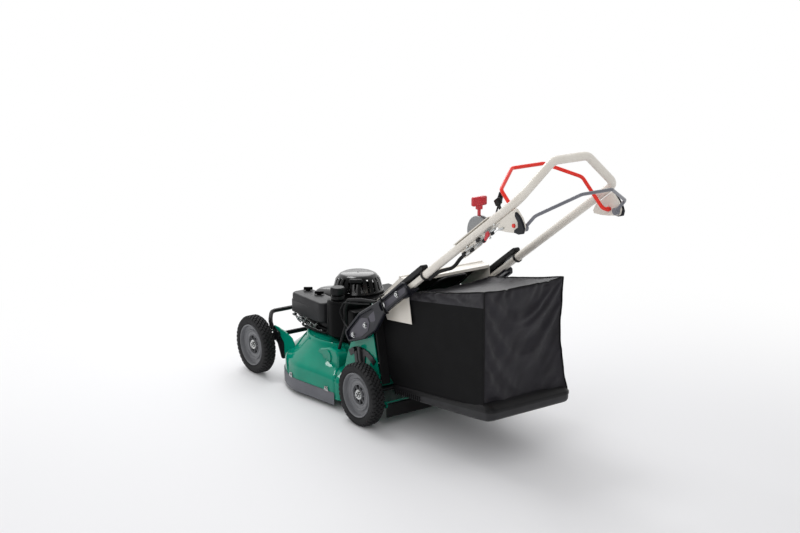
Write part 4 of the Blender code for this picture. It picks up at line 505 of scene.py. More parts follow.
def revolved(
    name: str, profile: Outline, axis: Axis, centre: Vector, steps: int, closed: bool = False
) -> Piece:
    """Turns a profile of (radius, height) round an axis.

    Args:
        name: Its name.
        profile: Points from one end to the other.
        axis: The direction of the axis.
        centre: A point on the axis, from which heights are measured.
        steps: The number of facets round it.
        closed: Whether the profile joins its own start, as round a bore.

    Returns:
        The new object.
    """
    mesh = bmesh.new()
    rings = []
    for radius, height in profile:
        ring = []
        for k in range(1 if radius == 0 else steps):
            angle = 2 * pi * k / steps
            local = Vector((height, radius * cos(angle), radius * sin(angle)))
            spun = (local, Vector((local.z, local.x, local.y)), Vector((local.y, local.z, local.x)))
            ring.append(mesh.verts.new(centre + spun[axis.value]))
        rings.append(ring)
    for low, high in zip(rings, rings[1:] + rings[:1] if closed else rings[1:]):
        for k in range(steps):
            loop = [
                low[k % len(low)], low[(k + 1) % len(low)], high[(k + 1) % len(high)], high[k % len(high)],
            ]
            loop = list(dict.fromkeys(loop))
            if len(loop) > 2:
                mesh.faces.new(loop)
    if not closed:
        for ring in (rings[0], rings[-1]):
            if len(ring) > 2:
                mesh.faces.new(ring)
    bmesh.ops.recalc_face_normals(mesh, faces=mesh.faces)
    return from_bmesh(name, mesh)


def rounded_path(points: list[Vector], bend: float, steps: int = 8, closed: bool = False) -> list[Vector]:
    """Rounds the corners of a path with arcs.

    Args:
        points: The corners.
        bend: The radius of every bend.
        steps: Segments in each bend.
        closed: Whether the last point joins the first.

    Returns:
        The points of the rounded path.
    """
    path = []
    count = len(points)
    for i, corner in enumerate(points):
        if not closed and i in (0, count - 1):
            path.append(corner.copy())
            continue
        before, after = points[i - 1], points[(i + 1) % count]
        back, ahead = (before - corner).normalized(), (after - corner).normalized()
        half = back.angle(ahead) / 2
        if half > radians(89.5) or bend == 0:
            path.append(corner.copy())
            continue
        limit = 0.49 * min((before - corner).length, (after - corner).length)
        reach = min(bend / tan(half), limit)
        radius = reach * tan(half)
        middle = corner + (back + ahead).normalized() * (radius / sin(half))
        start, end = corner + back * reach, corner + ahead * reach
        sweep = (start - middle).angle(end - middle)
        turn_axis = (start - middle).cross(end - middle).normalized()
        for k in range(steps + 1):
            path.append(middle + Matrix.Rotation(sweep * k / steps, 3, turn_axis) @ (start - middle))
    return path


def tube(
    name: str, points: list[Vector], radius: float, bend: float = 0.0, sides: int = 18, closed: bool = False
) -> Piece:
    """Sweeps a round section along a path with rounded bends.

    Args:
        name: Its name.
        points: The path's corners.
        radius: The tube's radius.
        bend: The radius of its bends, at its middle.
        sides: Facets round it.
        closed: Whether it is a ring.

    Returns:
        The new object.
    """
    path = rounded_path(points, bend, 8, closed)
    mesh = bmesh.new()
    rings = []
    count = len(path)
    normal = None
    for i, place in enumerate(path):
        before = path[i - 1] if i or closed else place
        after = path[(i + 1) % count] if i < count - 1 or closed else place
        along = (after - before).normalized()
        if normal is None:
            normal = along.orthogonal().normalized()
        normal = (normal - along * normal.dot(along)).normalized()
        side = along.cross(normal)
        ring = []
        for k in range(sides):
            angle = 2 * pi * k / sides
            ring.append(mesh.verts.new(place + (normal * cos(angle) + side * sin(angle)) * radius))
        rings.append(ring)
    return lofted(name, mesh, rings + rings[:1] if closed else rings, 50.0, not closed)


def slab(name: str, outline: Outline, axis: Axis, low: float, high: float) -> Piece:
    """Raises a flat outline into a plate along an axis.

    Args:
        name: Its name.
        outline: Corners on the other two axes, in their order.
        axis: The direction of the plate's thickness.
        low: Its lower face.
        high: Its upper face.

    Returns:
        The new object.
    """
    mesh = bmesh.new()
    faces = []
    for level in (low, high):
        ring = []
        for a, b in outline:
            place = [a, b]
            place.insert(axis.value, level)
            ring.append(mesh.verts.new(place))
        faces.append(mesh.faces.new(ring))
    bridge(mesh, [list(face.verts) for face in faces])
    bmesh.ops.recalc_face_normals(mesh, faces=mesh.faces)
    return from_bmesh(name, mesh)


def block(name: str, low: Vector, high: Vector) -> Piece:
    """Makes a plain block between two corners, to be bevelled."""
    outline = [(low.x, low.y), (high.x, low.y), (high.x, high.y), (low.x, high.y)]
    return slab(name, outline, Axis.Z, low.z, high.z)


def bevelled(piece: Piece, width: float, segments: int = 3, angle: float = 40.0) -> Piece:
    """Rounds a piece's sharp edges.

    Args:
        piece: The object.
        width: How much of each side the rounding takes.
        segments: Its facets.
        angle: Edges sharper than this, in degrees, are rounded.

    Returns:
        The same object.
    """
    edge = piece.modifiers.new("edge", "BEVEL")
    edge.width = width
    edge.segments = segments
    edge.limit_method = "ANGLE"
    edge.angle_limit = radians(angle)
    edge.harden_normals = True
    return piece


def rounded_block(
    name: str, low: Vector, high: Vector, corner: float, edge: float, draft: float = 0.0,
) -> Piece:
    """Makes a moulded block with wide upright corners and softer top and bottom edges.

    Args:
        name: Its name.
        low: Its lowest corner.
        high: Its highest corner.
        corner: The radius of its upright corners.
        edge: The radius of its other edges.
        draft: How much narrower each side is at the top.

    Returns:
        The new object.
    """
    levels = []
    for k in range(5):
        turn = pi / 2 * k / 4
        levels.append((edge * (1 - sin(turn)), low.z + edge * (1 - cos(turn))))
    for k in range(5):
        turn = pi / 2 * k / 4
        levels.append((edge * (1 - cos(turn)) + draft, high.z - edge * (1 - sin(turn))))
    mesh = bmesh.new()
    rings = []
    for inset, z in levels:
        ring = []
        radius = max(corner - inset, 0.0005)
        for quarter, (sx, sy) in enumerate(((1, 1), (-1, 1), (-1, -1), (1, -1))):
            x = (high.x if sx > 0 else low.x) - sx * (inset + radius)
            y = (high.y if sy > 0 else low.y) - sy * (inset + radius)
            for step in range(7):
                turn = pi / 2 * (quarter + step / 6)
                ring.append(mesh.verts.new((x + radius * cos(turn), y + radius * sin(turn), z)))
        rings.append(ring)
    return lofted(name, mesh, rings, 50.0)


def turned(piece: Piece, start: Vector, along: Vector) -> Piece:
    """Moves a piece drawn along Z from the origin so that it runs from a place in a direction."""
    piece.data.transform(Matrix.Translation(start) @ along.to_track_quat("Z", "Y").to_matrix().to_4x4())
    return piece


def joined(name: str, pieces: list[Piece]) -> Piece:
    """Joins plain meshes into one object, with their modifiers applied.

    Args:
        name: The new object's name.
        pieces: The objects, which are removed.

    Returns:
        The new object.
    """
    graph = bpy.context.evaluated_depsgraph_get()
    mesh = bmesh.new()
    for piece in pieces:
        graph.update()
        data = bpy.data.meshes.new_from_object(piece.evaluated_get(graph))
        data.transform(piece.matrix_world)
        mesh.from_mesh(data)
        bpy.data.meshes.remove(data)
        bpy.data.objects.remove(piece)
    return from_bmesh(name, mesh)


class Pattern(Enum):
    """How the copies of a repeated shape lie."""

    RING = "Ring of copies"
    ROW = "Row of copies"


def new_group(name: str, inputs: dict[str, str]) -> Tree:
    """Starts a geometry node group with named inputs and one geometry output.

    Args:
        name: The group's name.
        inputs: The kind of each input by its name.

    Returns:
        The group.
    """
    tree = bpy.data.node_groups.new(name, "GeometryNodeTree")
    for label, kind in inputs.items():
        tree.interface.new_socket(label, in_out="INPUT", socket_type=f"NodeSocket{kind}")
    tree.interface.new_socket("Geometry", in_out="OUTPUT", socket_type="NodeSocketGeometry")
    return tree


def copies_tree(pattern: Pattern) -> Tree:
    """Builds the tree that repeats its own geometry round an axis or along a line.

    Args:
        pattern: A ring or a row.

    Returns:
        The node group, with inputs for the count, the first turn, the axis or step, and the centre.
    """
    tree = bpy.data.node_groups.get(pattern.value)
    if tree:
        return tree
    inputs = {
        "Geometry": "Geometry", "Copies": "Int", "First Turn": "Float", "Direction": "Vector",
        "Centre": "Vector", "Finish": "Material",
    }
    tree = new_group(pattern.value, inputs)
    given = add(tree, "NodeGroupInput").outputs
    index = add(tree, "GeometryNodeInputIndex").outputs[0]
    if pattern is Pattern.RING:
        step = add(tree, "ShaderNodeMath", {0: 2 * pi, 1: given["Copies"]}, operation="DIVIDE")
        turn = add(
            tree, "ShaderNodeMath", {0: index, 1: step.outputs[0], 2: given["First Turn"]},
            operation="MULTIPLY_ADD",
        )
        angles = add(
            tree, "ShaderNodeVectorMath", {0: given["Direction"], "Scale": turn.outputs[0]},
            operation="SCALE",
        )
        points = add(tree, "GeometryNodePoints", {"Count": given["Copies"]})
        extra = {"Rotation": angles.outputs[0]}
    else:
        shift = add(tree, "ShaderNodeVectorMath", {0: given["Direction"], "Scale": index}, operation="SCALE")
        points = add(tree, "GeometryNodePoints", {"Count": given["Copies"], "Position": shift.outputs[0]})
        extra = {}
    spread = add(
        tree, "GeometryNodeInstanceOnPoints",
        {"Points": points.outputs[0], "Instance": given["Geometry"], **extra},
    )
    moved = add(tree, "GeometryNodeTransform", {
        "Geometry": spread.outputs[0], "Translation": given["Centre"],
    })
    real = add(tree, "GeometryNodeRealizeInstances", {"Geometry": moved.outputs[0]})
    dressed = add(tree, "GeometryNodeSetMaterial", {"Geometry": real.outputs[0], "Material": given["Finish"]})
    add(tree, "NodeGroupOutput", {0: dressed.outputs[0]})
    return tree


def coil_tree() -> Tree:
    """Builds the tree of a wire spring.

    Returns:
        The node group, with inputs for the turns, radius, length, wire and finish.
    """
    tree = bpy.data.node_groups.get("Wire spring")
    if tree:
        return tree
    inputs = {"Turns": "Float", "Radius": "Float", "Length": "Float", "Wire": "Float", "Finish": "Material"}
    tree = new_group("Wire spring", inputs)
    given = add(tree, "NodeGroupInput").outputs
    line = add(
        tree,
        "GeometryNodeCurveSpiral",
        {
            "Resolution": 10, "Rotations": given["Turns"], "Start Radius": given["Radius"],
            "End Radius": given["Radius"], "Height": given["Length"],
        },
    )
    section = add(tree, "GeometryNodeCurvePrimitiveCircle", {"Resolution": 6, "Radius": given["Wire"]})
    wire = add(tree, "GeometryNodeCurveToMesh", {
        "Curve": line.outputs[0], "Profile Curve": section.outputs[0], "Fill Caps": True,
    })
    dressed = add(tree, "GeometryNodeSetMaterial", {"Geometry": wire.outputs[0], "Material": given["Finish"]})
    add(tree, "NodeGroupOutput", {0: dressed.outputs[0]})
    return tree


def realised(piece: Piece, tree: Tree, values: dict[str, object]) -> Piece:
    """Runs a tree on a piece and keeps its result as a plain mesh.

    Args:
        piece: The object whose mesh the tree repeats.
        tree: The node group.
        values: The group's inputs by name.

    Returns:
        The same object with the finished mesh.
    """
    modifier = piece.modifiers.new("pattern", "NODES")
    modifier.node_group = tree
    for item in tree.interface.items_tree:
        if item.in_out == "INPUT" and item.name in values:
            modifier[item.identifier] = values[item.name]
    bpy.context.view_layer.update()
    graph = bpy.context.evaluated_depsgraph_get()
    data = bpy.data.meshes.new_from_object(piece.evaluated_get(graph))
    piece.modifiers.clear()
    piece.data = data
    data.shade_smooth()
    data.set_sharp_from_angle(angle=radians(40))
    return piece


@dataclass
class Shop:
    """Holds the loaded frame and the made finishes, and fits each finished piece to its body."""

    frame: dict
    made: dict[Skin, bpy.types.Material] = field(default_factory=dict)
    pieces: int = 0

    def look(self, finish: Skin) -> bpy.types.Material:
        """Gives a finish's material, which it makes once.

        Args:
            finish: The finish.

        Returns:
            Its material.
        """
        if finish not in self.made:
            self.made[finish] = finish.value.make()
        return self.made[finish]

    def fit(self, piece: Piece, body: str, finish: Skin | None, stands_for: tuple[str, ...] = ()) -> Piece:
        """Dresses a finished piece and lets it ride on a body.

        Args:
            piece: The object, at the origin.
            body: The body that carries it.
            finish: Its finish, or None where it has its materials.
            stands_for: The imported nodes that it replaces.

        Returns:
            The same object.
        """
        if finish is not None:
            piece.data.materials.clear()
            piece.data.materials.append(self.look(finish))
        if stands_for:
            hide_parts(*stands_for)
        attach(piece, body)
        self.pieces += 1
        LOG.info("%s rides on %s", piece.name, body)
        return piece

    def ring(
        self, piece: Piece, copies: int, axis: Axis, centre: Vector, finish: Skin, turn: float = 0.0,
    ) -> Piece:
        """Repeats a shape round an axis; the shape is drawn about the origin.

        Args:
            piece: The shape.
            copies: How many there are.
            axis: The ring's axis.
            centre: A point on that axis.
            finish: What the copies are made of.
            turn: How far the first is turned, in radians.

        Returns:
            The ring as one object.
        """
        direction = Vector()
        direction[axis.value] = 1
        values = {
            "Copies": copies, "First Turn": turn, "Direction": direction, "Centre": centre,
            "Finish": self.look(finish),
        }
        return realised(piece, copies_tree(Pattern.RING), values)

    def row(self, piece: Piece, copies: int, step: Vector, finish: Skin) -> Piece:
        """Repeats a shape along a line."""
        values = {"Copies": copies, "Direction": step, "Centre": Vector(), "Finish": self.look(finish)}
        return realised(piece, copies_tree(Pattern.ROW), values)

    def spring(
        self, name: str, start: Vector, end: Vector, radius: float, wire: float, turns: float,
        finish: Skin,
    ) -> Piece:
        """Makes a wire spring between two places.

        Args:
            name: Its name.
            start: The middle of its first coil.
            end: The middle of its last coil.
            radius: Its coils' radius.
            wire: Its wire's radius.
            turns: How many coils it has.
            finish: What it is made of.

        Returns:
            The spring.
        """
        piece = linked(name, bpy.data.meshes.new(name))
        span = end - start
        values = {
            "Turns": turns, "Radius": radius, "Length": span.length, "Wire": wire,
            "Finish": self.look(finish),
        }
        realised(piece, coil_tree(), values)
        return turned(piece, start, span)

    def cord(
        self, name: str, body: str, corners: list[Vector], radius: float, bend: float, finish: Skin,
        stands_for: tuple[str, ...] = (),
    ) -> Piece:
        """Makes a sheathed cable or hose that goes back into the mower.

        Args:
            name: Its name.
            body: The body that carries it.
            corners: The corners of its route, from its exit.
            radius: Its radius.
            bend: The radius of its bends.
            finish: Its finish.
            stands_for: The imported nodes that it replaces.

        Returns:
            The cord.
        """
        route = rounded_path(corners, bend, 10)
        dense = [route[0]]
        for place in route[1:]:
            steps = max(1, ceil((place - dense[-1]).length / 0.012))
            start = dense[-1]
            dense.extend(start.lerp(place, (k + 1) / steps) for k in range(steps))
        piece = tube(name, dense, radius, 0.0, 12)
        self.fit(piece, body, finish, stands_for)
        return piece

    def smooth_copy(self, node: str, crease: float = 38.0) -> Piece:
        """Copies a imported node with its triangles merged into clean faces.

        Args:
            node: The node's name.
            crease: Edges past this angle in degrees stay sharp.

        Returns:
            The copy, at the origin.
        """
        data = self.frame["nodes"][node].data
        mesh = bmesh.new()
        mesh.from_mesh(data)
        bmesh.ops.remove_doubles(mesh, verts=mesh.verts, dist=2e-5)
        bmesh.ops.dissolve_limit(mesh, angle_limit=radians(0.8), verts=mesh.verts, edges=mesh.edges)
        return from_bmesh(f"{node}_body", mesh, crease)

    def refine(
        self, node: str, body: str, finish: Skin, width: float = 0.0008, crease: float = 38.0,
    ) -> Piece:
        """Stands a smooth, edge-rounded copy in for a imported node."""
        piece = bevelled(self.smooth_copy(node, crease), width, 2, crease)
        return self.fit(piece, body, finish, (node,))


@dataclass
class Studio:
    """The pale floor, the lamps and the camera."""

    lens: float = 1532.18 / 800 * 36
    pitch: float = 14.83
    heading: float = 180 - 36.111
    eye: Triple = (3.16106, 4.20268, 1.92969)
    floor_colour: str = "#E7E7E9"
    white_wall: Triple = (-0.6, -0.8, 0.0)

    def build(self) -> None:
        """Makes the whole studio."""
        self.camera()
        self.floor()
        self.world()
        self.lamps()
        bpy.context.scene.view_settings.view_transform = "Standard"

    def camera(self) -> None:
        """Makes the camera that sees the mower from behind its left side."""
        data = bpy.data.cameras.new("camera")
        data.lens = self.lens
        data.sensor_width = 36
        made = linked("camera", data)
        made.location = placed(*self.eye)
        made.rotation_euler = (radians(90 - self.pitch), 0, radians(self.heading))
        bpy.context.scene.camera = made

    def floor(self) -> None:
        """Makes the floor, which fades to white away from the mower."""
        mesh = bmesh.new()
        bmesh.ops.create_circle(mesh, cap_ends=True, segments=96, radius=14)
        plane = from_bmesh("floor", mesh)
        made = bpy.data.materials.new("Painted studio floor")
        made.use_nodes = True
        tree = made.node_tree
        shader = tree.nodes["Principled BSDF"]
        shader.inputs["Roughness"].default_value = 0.7
        place = add(tree, "ShaderNodeTexCoord").outputs["Object"]
        mapped = add(tree, "ShaderNodeMapping", {"Vector": place, "Location": (-0.6, -0.8, 0.0)})
        reach = add(tree, "ShaderNodeVectorMath", {0: mapped.outputs[0]}, operation="LENGTH")
        fade = add(
            tree, "ShaderNodeMapRange", {0: reach.outputs["Value"], 1: 1.3, 2: 3.0},
            interpolation_type="SMOOTHSTEP",
        )
        grain = add(tree, "ShaderNodeTexNoise", {"Vector": place, "Scale": 180.0})
        bump = add(tree, "ShaderNodeBump", {"Height": grain.outputs["Fac"], "Strength": 0.02})
        tree.links.new(bump.outputs["Normal"], shader.inputs["Normal"])
        shader.inputs["Base Color"].default_value = linear(self.floor_colour)
        glow = add(tree, "ShaderNodeEmission", {"Color": (1, 1, 1, 1), "Strength": 1.0})
        rays = add(tree, "ShaderNodeLightPath").outputs
        seen = add(
            tree, "ShaderNodeMath", {0: rays["Is Camera Ray"], 1: rays["Is Glossy Ray"]}, operation="MAXIMUM",
        )
        amount = add(tree, "ShaderNodeMath", {0: fade.outputs[0], 1: seen.outputs[0]}, operation="MULTIPLY")
        mix = add(tree, "ShaderNodeMixShader", {
            0: amount.outputs[0], 1: shader.outputs[0], 2: glow.outputs[0],
        })
        tree.links.new(mix.outputs[0], tree.nodes["Material Output"].inputs["Surface"])
        plane.data.materials.append(made)

    def world(self) -> None:
        """Makes the soft, even light of a white room."""
        world = bpy.data.worlds.new("white room")
        bpy.context.scene.world = world
        world.use_nodes = True
        tree = world.node_tree
        tree.nodes.clear()
        rays = add(tree, "ShaderNodeLightPath").outputs
        soft = add(tree, "ShaderNodeBackground", {"Color": (1, 1, 1, 1), "Strength": 0.78})
        white = add(tree, "ShaderNodeBackground", {"Color": (1, 1, 1, 1), "Strength": 1.0})
        # Gloss sees a white wall ahead of the mower and the unlit end of the room behind it
        heading = add(tree, "ShaderNodeTexCoord").outputs["Generated"]
        ahead = add(tree, "ShaderNodeVectorMath", {0: heading, 1: self.white_wall}, operation="DOT_PRODUCT")
        wall = add(tree, "ShaderNodeMapRange", {
            0: ahead.outputs["Value"], 1: -0.15, 2: 0.55, 3: 0.18, 4: 1.0,
        })
        room = add(tree, "ShaderNodeBackground", {"Color": (1, 1, 1, 1), "Strength": wall.outputs[0]})
        lit = add(tree, "ShaderNodeMixShader", {
            0: rays["Is Glossy Ray"], 1: soft.outputs[0], 2: room.outputs[0],
        })
        mix = add(tree, "ShaderNodeMixShader", {
            0: rays["Is Camera Ray"], 1: lit.outputs[0], 2: white.outputs[0],
        })
        add(tree, "ShaderNodeOutputWorld", {0: mix.outputs[0]})

    def lamps(self) -> None:
        """Hangs a lamp over the mower, a wide soft box ahead of it and a weak lamp behind its left side."""
        self.lamp("overhead", Vector((0.1, -1.8, 3.4)), Vector((0, 0, 0.3)), 1.2, 42)
        self.lamp("front", Vector((-1.5, -2.7, 2.2)), Vector((0, -0.2, 0.2)), 2.2, 30)
        self.lamp("side", Vector((3.0, 2.0, 2.6)), Vector((0, 0, 0.3)), 1.4, 14)

    def lamp(self, name: str, place: Vector, target: Vector, size: float, power: float) -> None:
        """Makes one square area lamp aimed at a place.

        Args:
            name: The lamp's name.
            place: Where it hangs.
            target: What it points at.
            size: The length of its side.
            power: Its power in watts.
        """
        data = bpy.data.lights.new(name, "AREA")
        data.shape = "SQUARE"
        data.size = size
        data.energy = power
        made = linked(name, data)
        made.location = place
        made.rotation_euler = (target - place).to_track_quat("-Z", "Y").to_euler()


@dataclass
class Assembly:
    """A sub-assembly, whose pieces the shop dresses and fits."""

    shop: Shop


@dataclass
class Wheels(Assembly):
    """Four ribbed tyres on dished plastic wheels."""

    radius: float = 0.1138
    half: float = 0.026
    rim: float = 0.0811
    lugs: int = 40
    lug_height: float = 0.005
    # Each row's place across the tread, its width, and its shift in lugs
    rows: Places = (
        (-0.0195, 0.009, 0.5), (-0.0095, 0.008, 0.0), (0.0, 0.008, 0.5), (0.0095, 0.008, 0.0),
        (0.0195, 0.009, 0.5),
    )
    hub_ribs: int = 8
    spindle: float = 0.0071

    def build(self) -> None:
        """Makes all four wheels."""
        for end, y in (("front", -WHEELBASE), ("rear", 0.0)):
            for sign, side in SIDES:
                centre = placed(sign * WHEEL_X, y, AXLE_Z)
                label = f"{end}_{side}"
                body = f"{label}_wheel_assembly"
                self.shop.fit(self.tyre(label, centre), body, None, (f"{label}_tyre",))
                for piece, finish in self.wheel(label, centre, sign):
                    stands = (f"{label}_wheel",) if piece.name.endswith("dish") else ()
                    self.shop.fit(piece, body, finish, stands)
                self.shop.fit(self.nut(label, centre, sign), f"{end}_axle_assembly", Skin.ZINC)

    def tyre(self, label: str, centre: Vector) -> Piece:
        """Makes a tyre's carcass and the five rows of lugs on it.

        Args:
            label: The wheel's end and side.
            centre: The wheel's centre.

        Returns:
            The tyre.
        """
        base = self.radius - self.lug_height
        shoulder = [
            (self.rim, 0.8), (self.rim + 0.004, 0.93), (self.rim + 0.01, 0.99), (self.rim + 0.02, 0.97),
            (base - 0.005, 0.86), (base - 0.001, 0.7), (base, 0.4),
        ]
        profile = [(radius, -self.half * share) for radius, share in shoulder]
        profile += [(radius, self.half * share) for radius, share in reversed(shoulder)]
        pieces = [revolved("carcass", profile, Axis.X, centre, 96, closed=True)]
        pitch = 2 * pi / self.lugs
        for x, width, shift in self.rows:
            lug = self.lug(x, width, base)
            pieces.append(self.shop.ring(lug, self.lugs, Axis.X, centre, Skin.TYRE, shift * pitch))
        tyre = joined(f"{label}_tyre_rubber", pieces)
        tyre.data.materials.append(self.shop.look(Skin.TYRE))
        return tyre

    def lug(self, x: float, width: float, base: float) -> Piece:
        """Makes one lug at the top of the wheel; the outer ones slope down over the shoulder.

        Args:
            x: The middle of its row.
            width: Its width across the tread.
            base: The radius of the carcass.

        Returns:
            The lug, drawn about the origin.
        """
        length = 2 * pi * self.radius / self.lugs * 0.68
        mesh = bmesh.new()
        shoulder = abs(x) > 0.015
        rings = []
        for level, inset in ((base - 0.004, 0.0), (self.radius - 0.0008, 0.0), (self.radius, 0.0009)):
            ring = []
            for sx, sy in ((-1, -1), (1, -1), (1, 1), (-1, 1)):
                px = x + sx * (width / 2 - inset)
                skew = 0.0012 * sx
                drop = 0.0052 if shoulder and sx * x > 0 else 0.0
                ring.append(mesh.verts.new((px, sy * (length / 2 - inset) + skew, level - drop)))
            rings.append(ring)
        return lofted("lug", mesh, rings)

    def wheel(self, label: str, centre: Vector, sign: int) -> list[tuple[Piece, Skin]]:
        """Makes a wheel's dish, its hub ribs and its dark pocket.

        Args:
            label: The wheel's end and side.
            centre: The wheel's centre.
            sign: One on the left, minus one on the right.

        Returns:
            Each piece with its finish.
        """
        half = self.half
        rim = self.rim
        face = [
            (rim - 0.0002, -half * 0.86), (rim - 0.0002, half * 0.8), (rim - 0.001, half * 0.93),
            (rim - 0.0032, half * 0.97), (rim - 0.0052, half * 0.9), (rim - 0.0066, half * 0.66),
            (rim - 0.0082, half * 0.38), (rim - 0.012, half * 0.31), (0.06, half * 0.36),
            (0.0575, half * 0.54), (0.055, half * 0.58), (0.0525, half * 0.52), (0.05, half * 0.36),
            (0.044, half * 0.32), (0.04, half * 0.36), (0.0385, half * 0.46), (0.0365, half * 0.46),
            (0.0355, half * 0.38), (0.0352, half * 0.08), (0.0195, half * 0.08), (0.019, 0.01),
            (0.0175, 0.0118), (0.012, 0.0118), (0.0115, 0.0108), (self.spindle, 0.0108),
            (self.spindle, -0.0298), (0.02, -0.0298), (0.022, -half * 0.1), (0.056, -half * 0.16),
            (0.064, -half * 0.8), (rim - 0.004, -half * 0.9),
        ]
        dish = revolved(f"{label}_dish", facing(face, sign), Axis.X, centre, 96, closed=True)
        pocket_face = [(0.035, half * 0.1), (0.02, half * 0.1), (0.02, half * 0.086), (0.035, half * 0.086)]
        pocket = revolved(f"{label}_pocket", facing(pocket_face, sign), Axis.X, centre, 64, closed=True)
        x = sign * half * 0.09
        top = sign * half * 0.33
        low, high = min(x, top), max(x, top)
        rib = block("rib", Vector((low, -0.001, 0.0185)), Vector((high, 0.001, 0.0358)))
        ribs = self.shop.ring(rib, self.hub_ribs, Axis.X, centre, Skin.WHEEL)
        ribs.name = f"{label}_hub_ribs"
        return [(dish, Skin.WHEEL), (pocket, Skin.DARK_WHEEL), (ribs, Skin.WHEEL)]

    @staticmethod
    def nut(label: str, centre: Vector, sign: int) -> Piece:
        """Makes the plated flange nut and the end of the stud that hold a wheel.

        Args:
            label: The wheel's end and side.
            centre: The wheel's centre.
            sign: One on the left, minus one on the right.

        Returns:
            The nut with its stud.
        """
        flange = [
            (0.0068, 0.0182), (0.0068, 0.0192), (0.0078, 0.0198), (0.0102, 0.0198), (0.0112, 0.0188),
            (0.0112, 0.0136), (0.0174, 0.0134), (0.018, 0.0128), (0.0178, 0.0121), (0.0106, 0.0121),
            (0.0106, 0.0182),
        ]
        stud = [(0.0, 0.0178), (0.0038, 0.0178), (0.0038, 0.0206), (0.003, 0.0214), (0.0, 0.0214)]
        ring = revolved("ring", facing(flange, sign), Axis.X, centre, 36, closed=True)
        end = revolved("end", facing(stud, sign), Axis.X, centre, 18)
        return joined(f"{label}_wheel_nut", [ring, end])


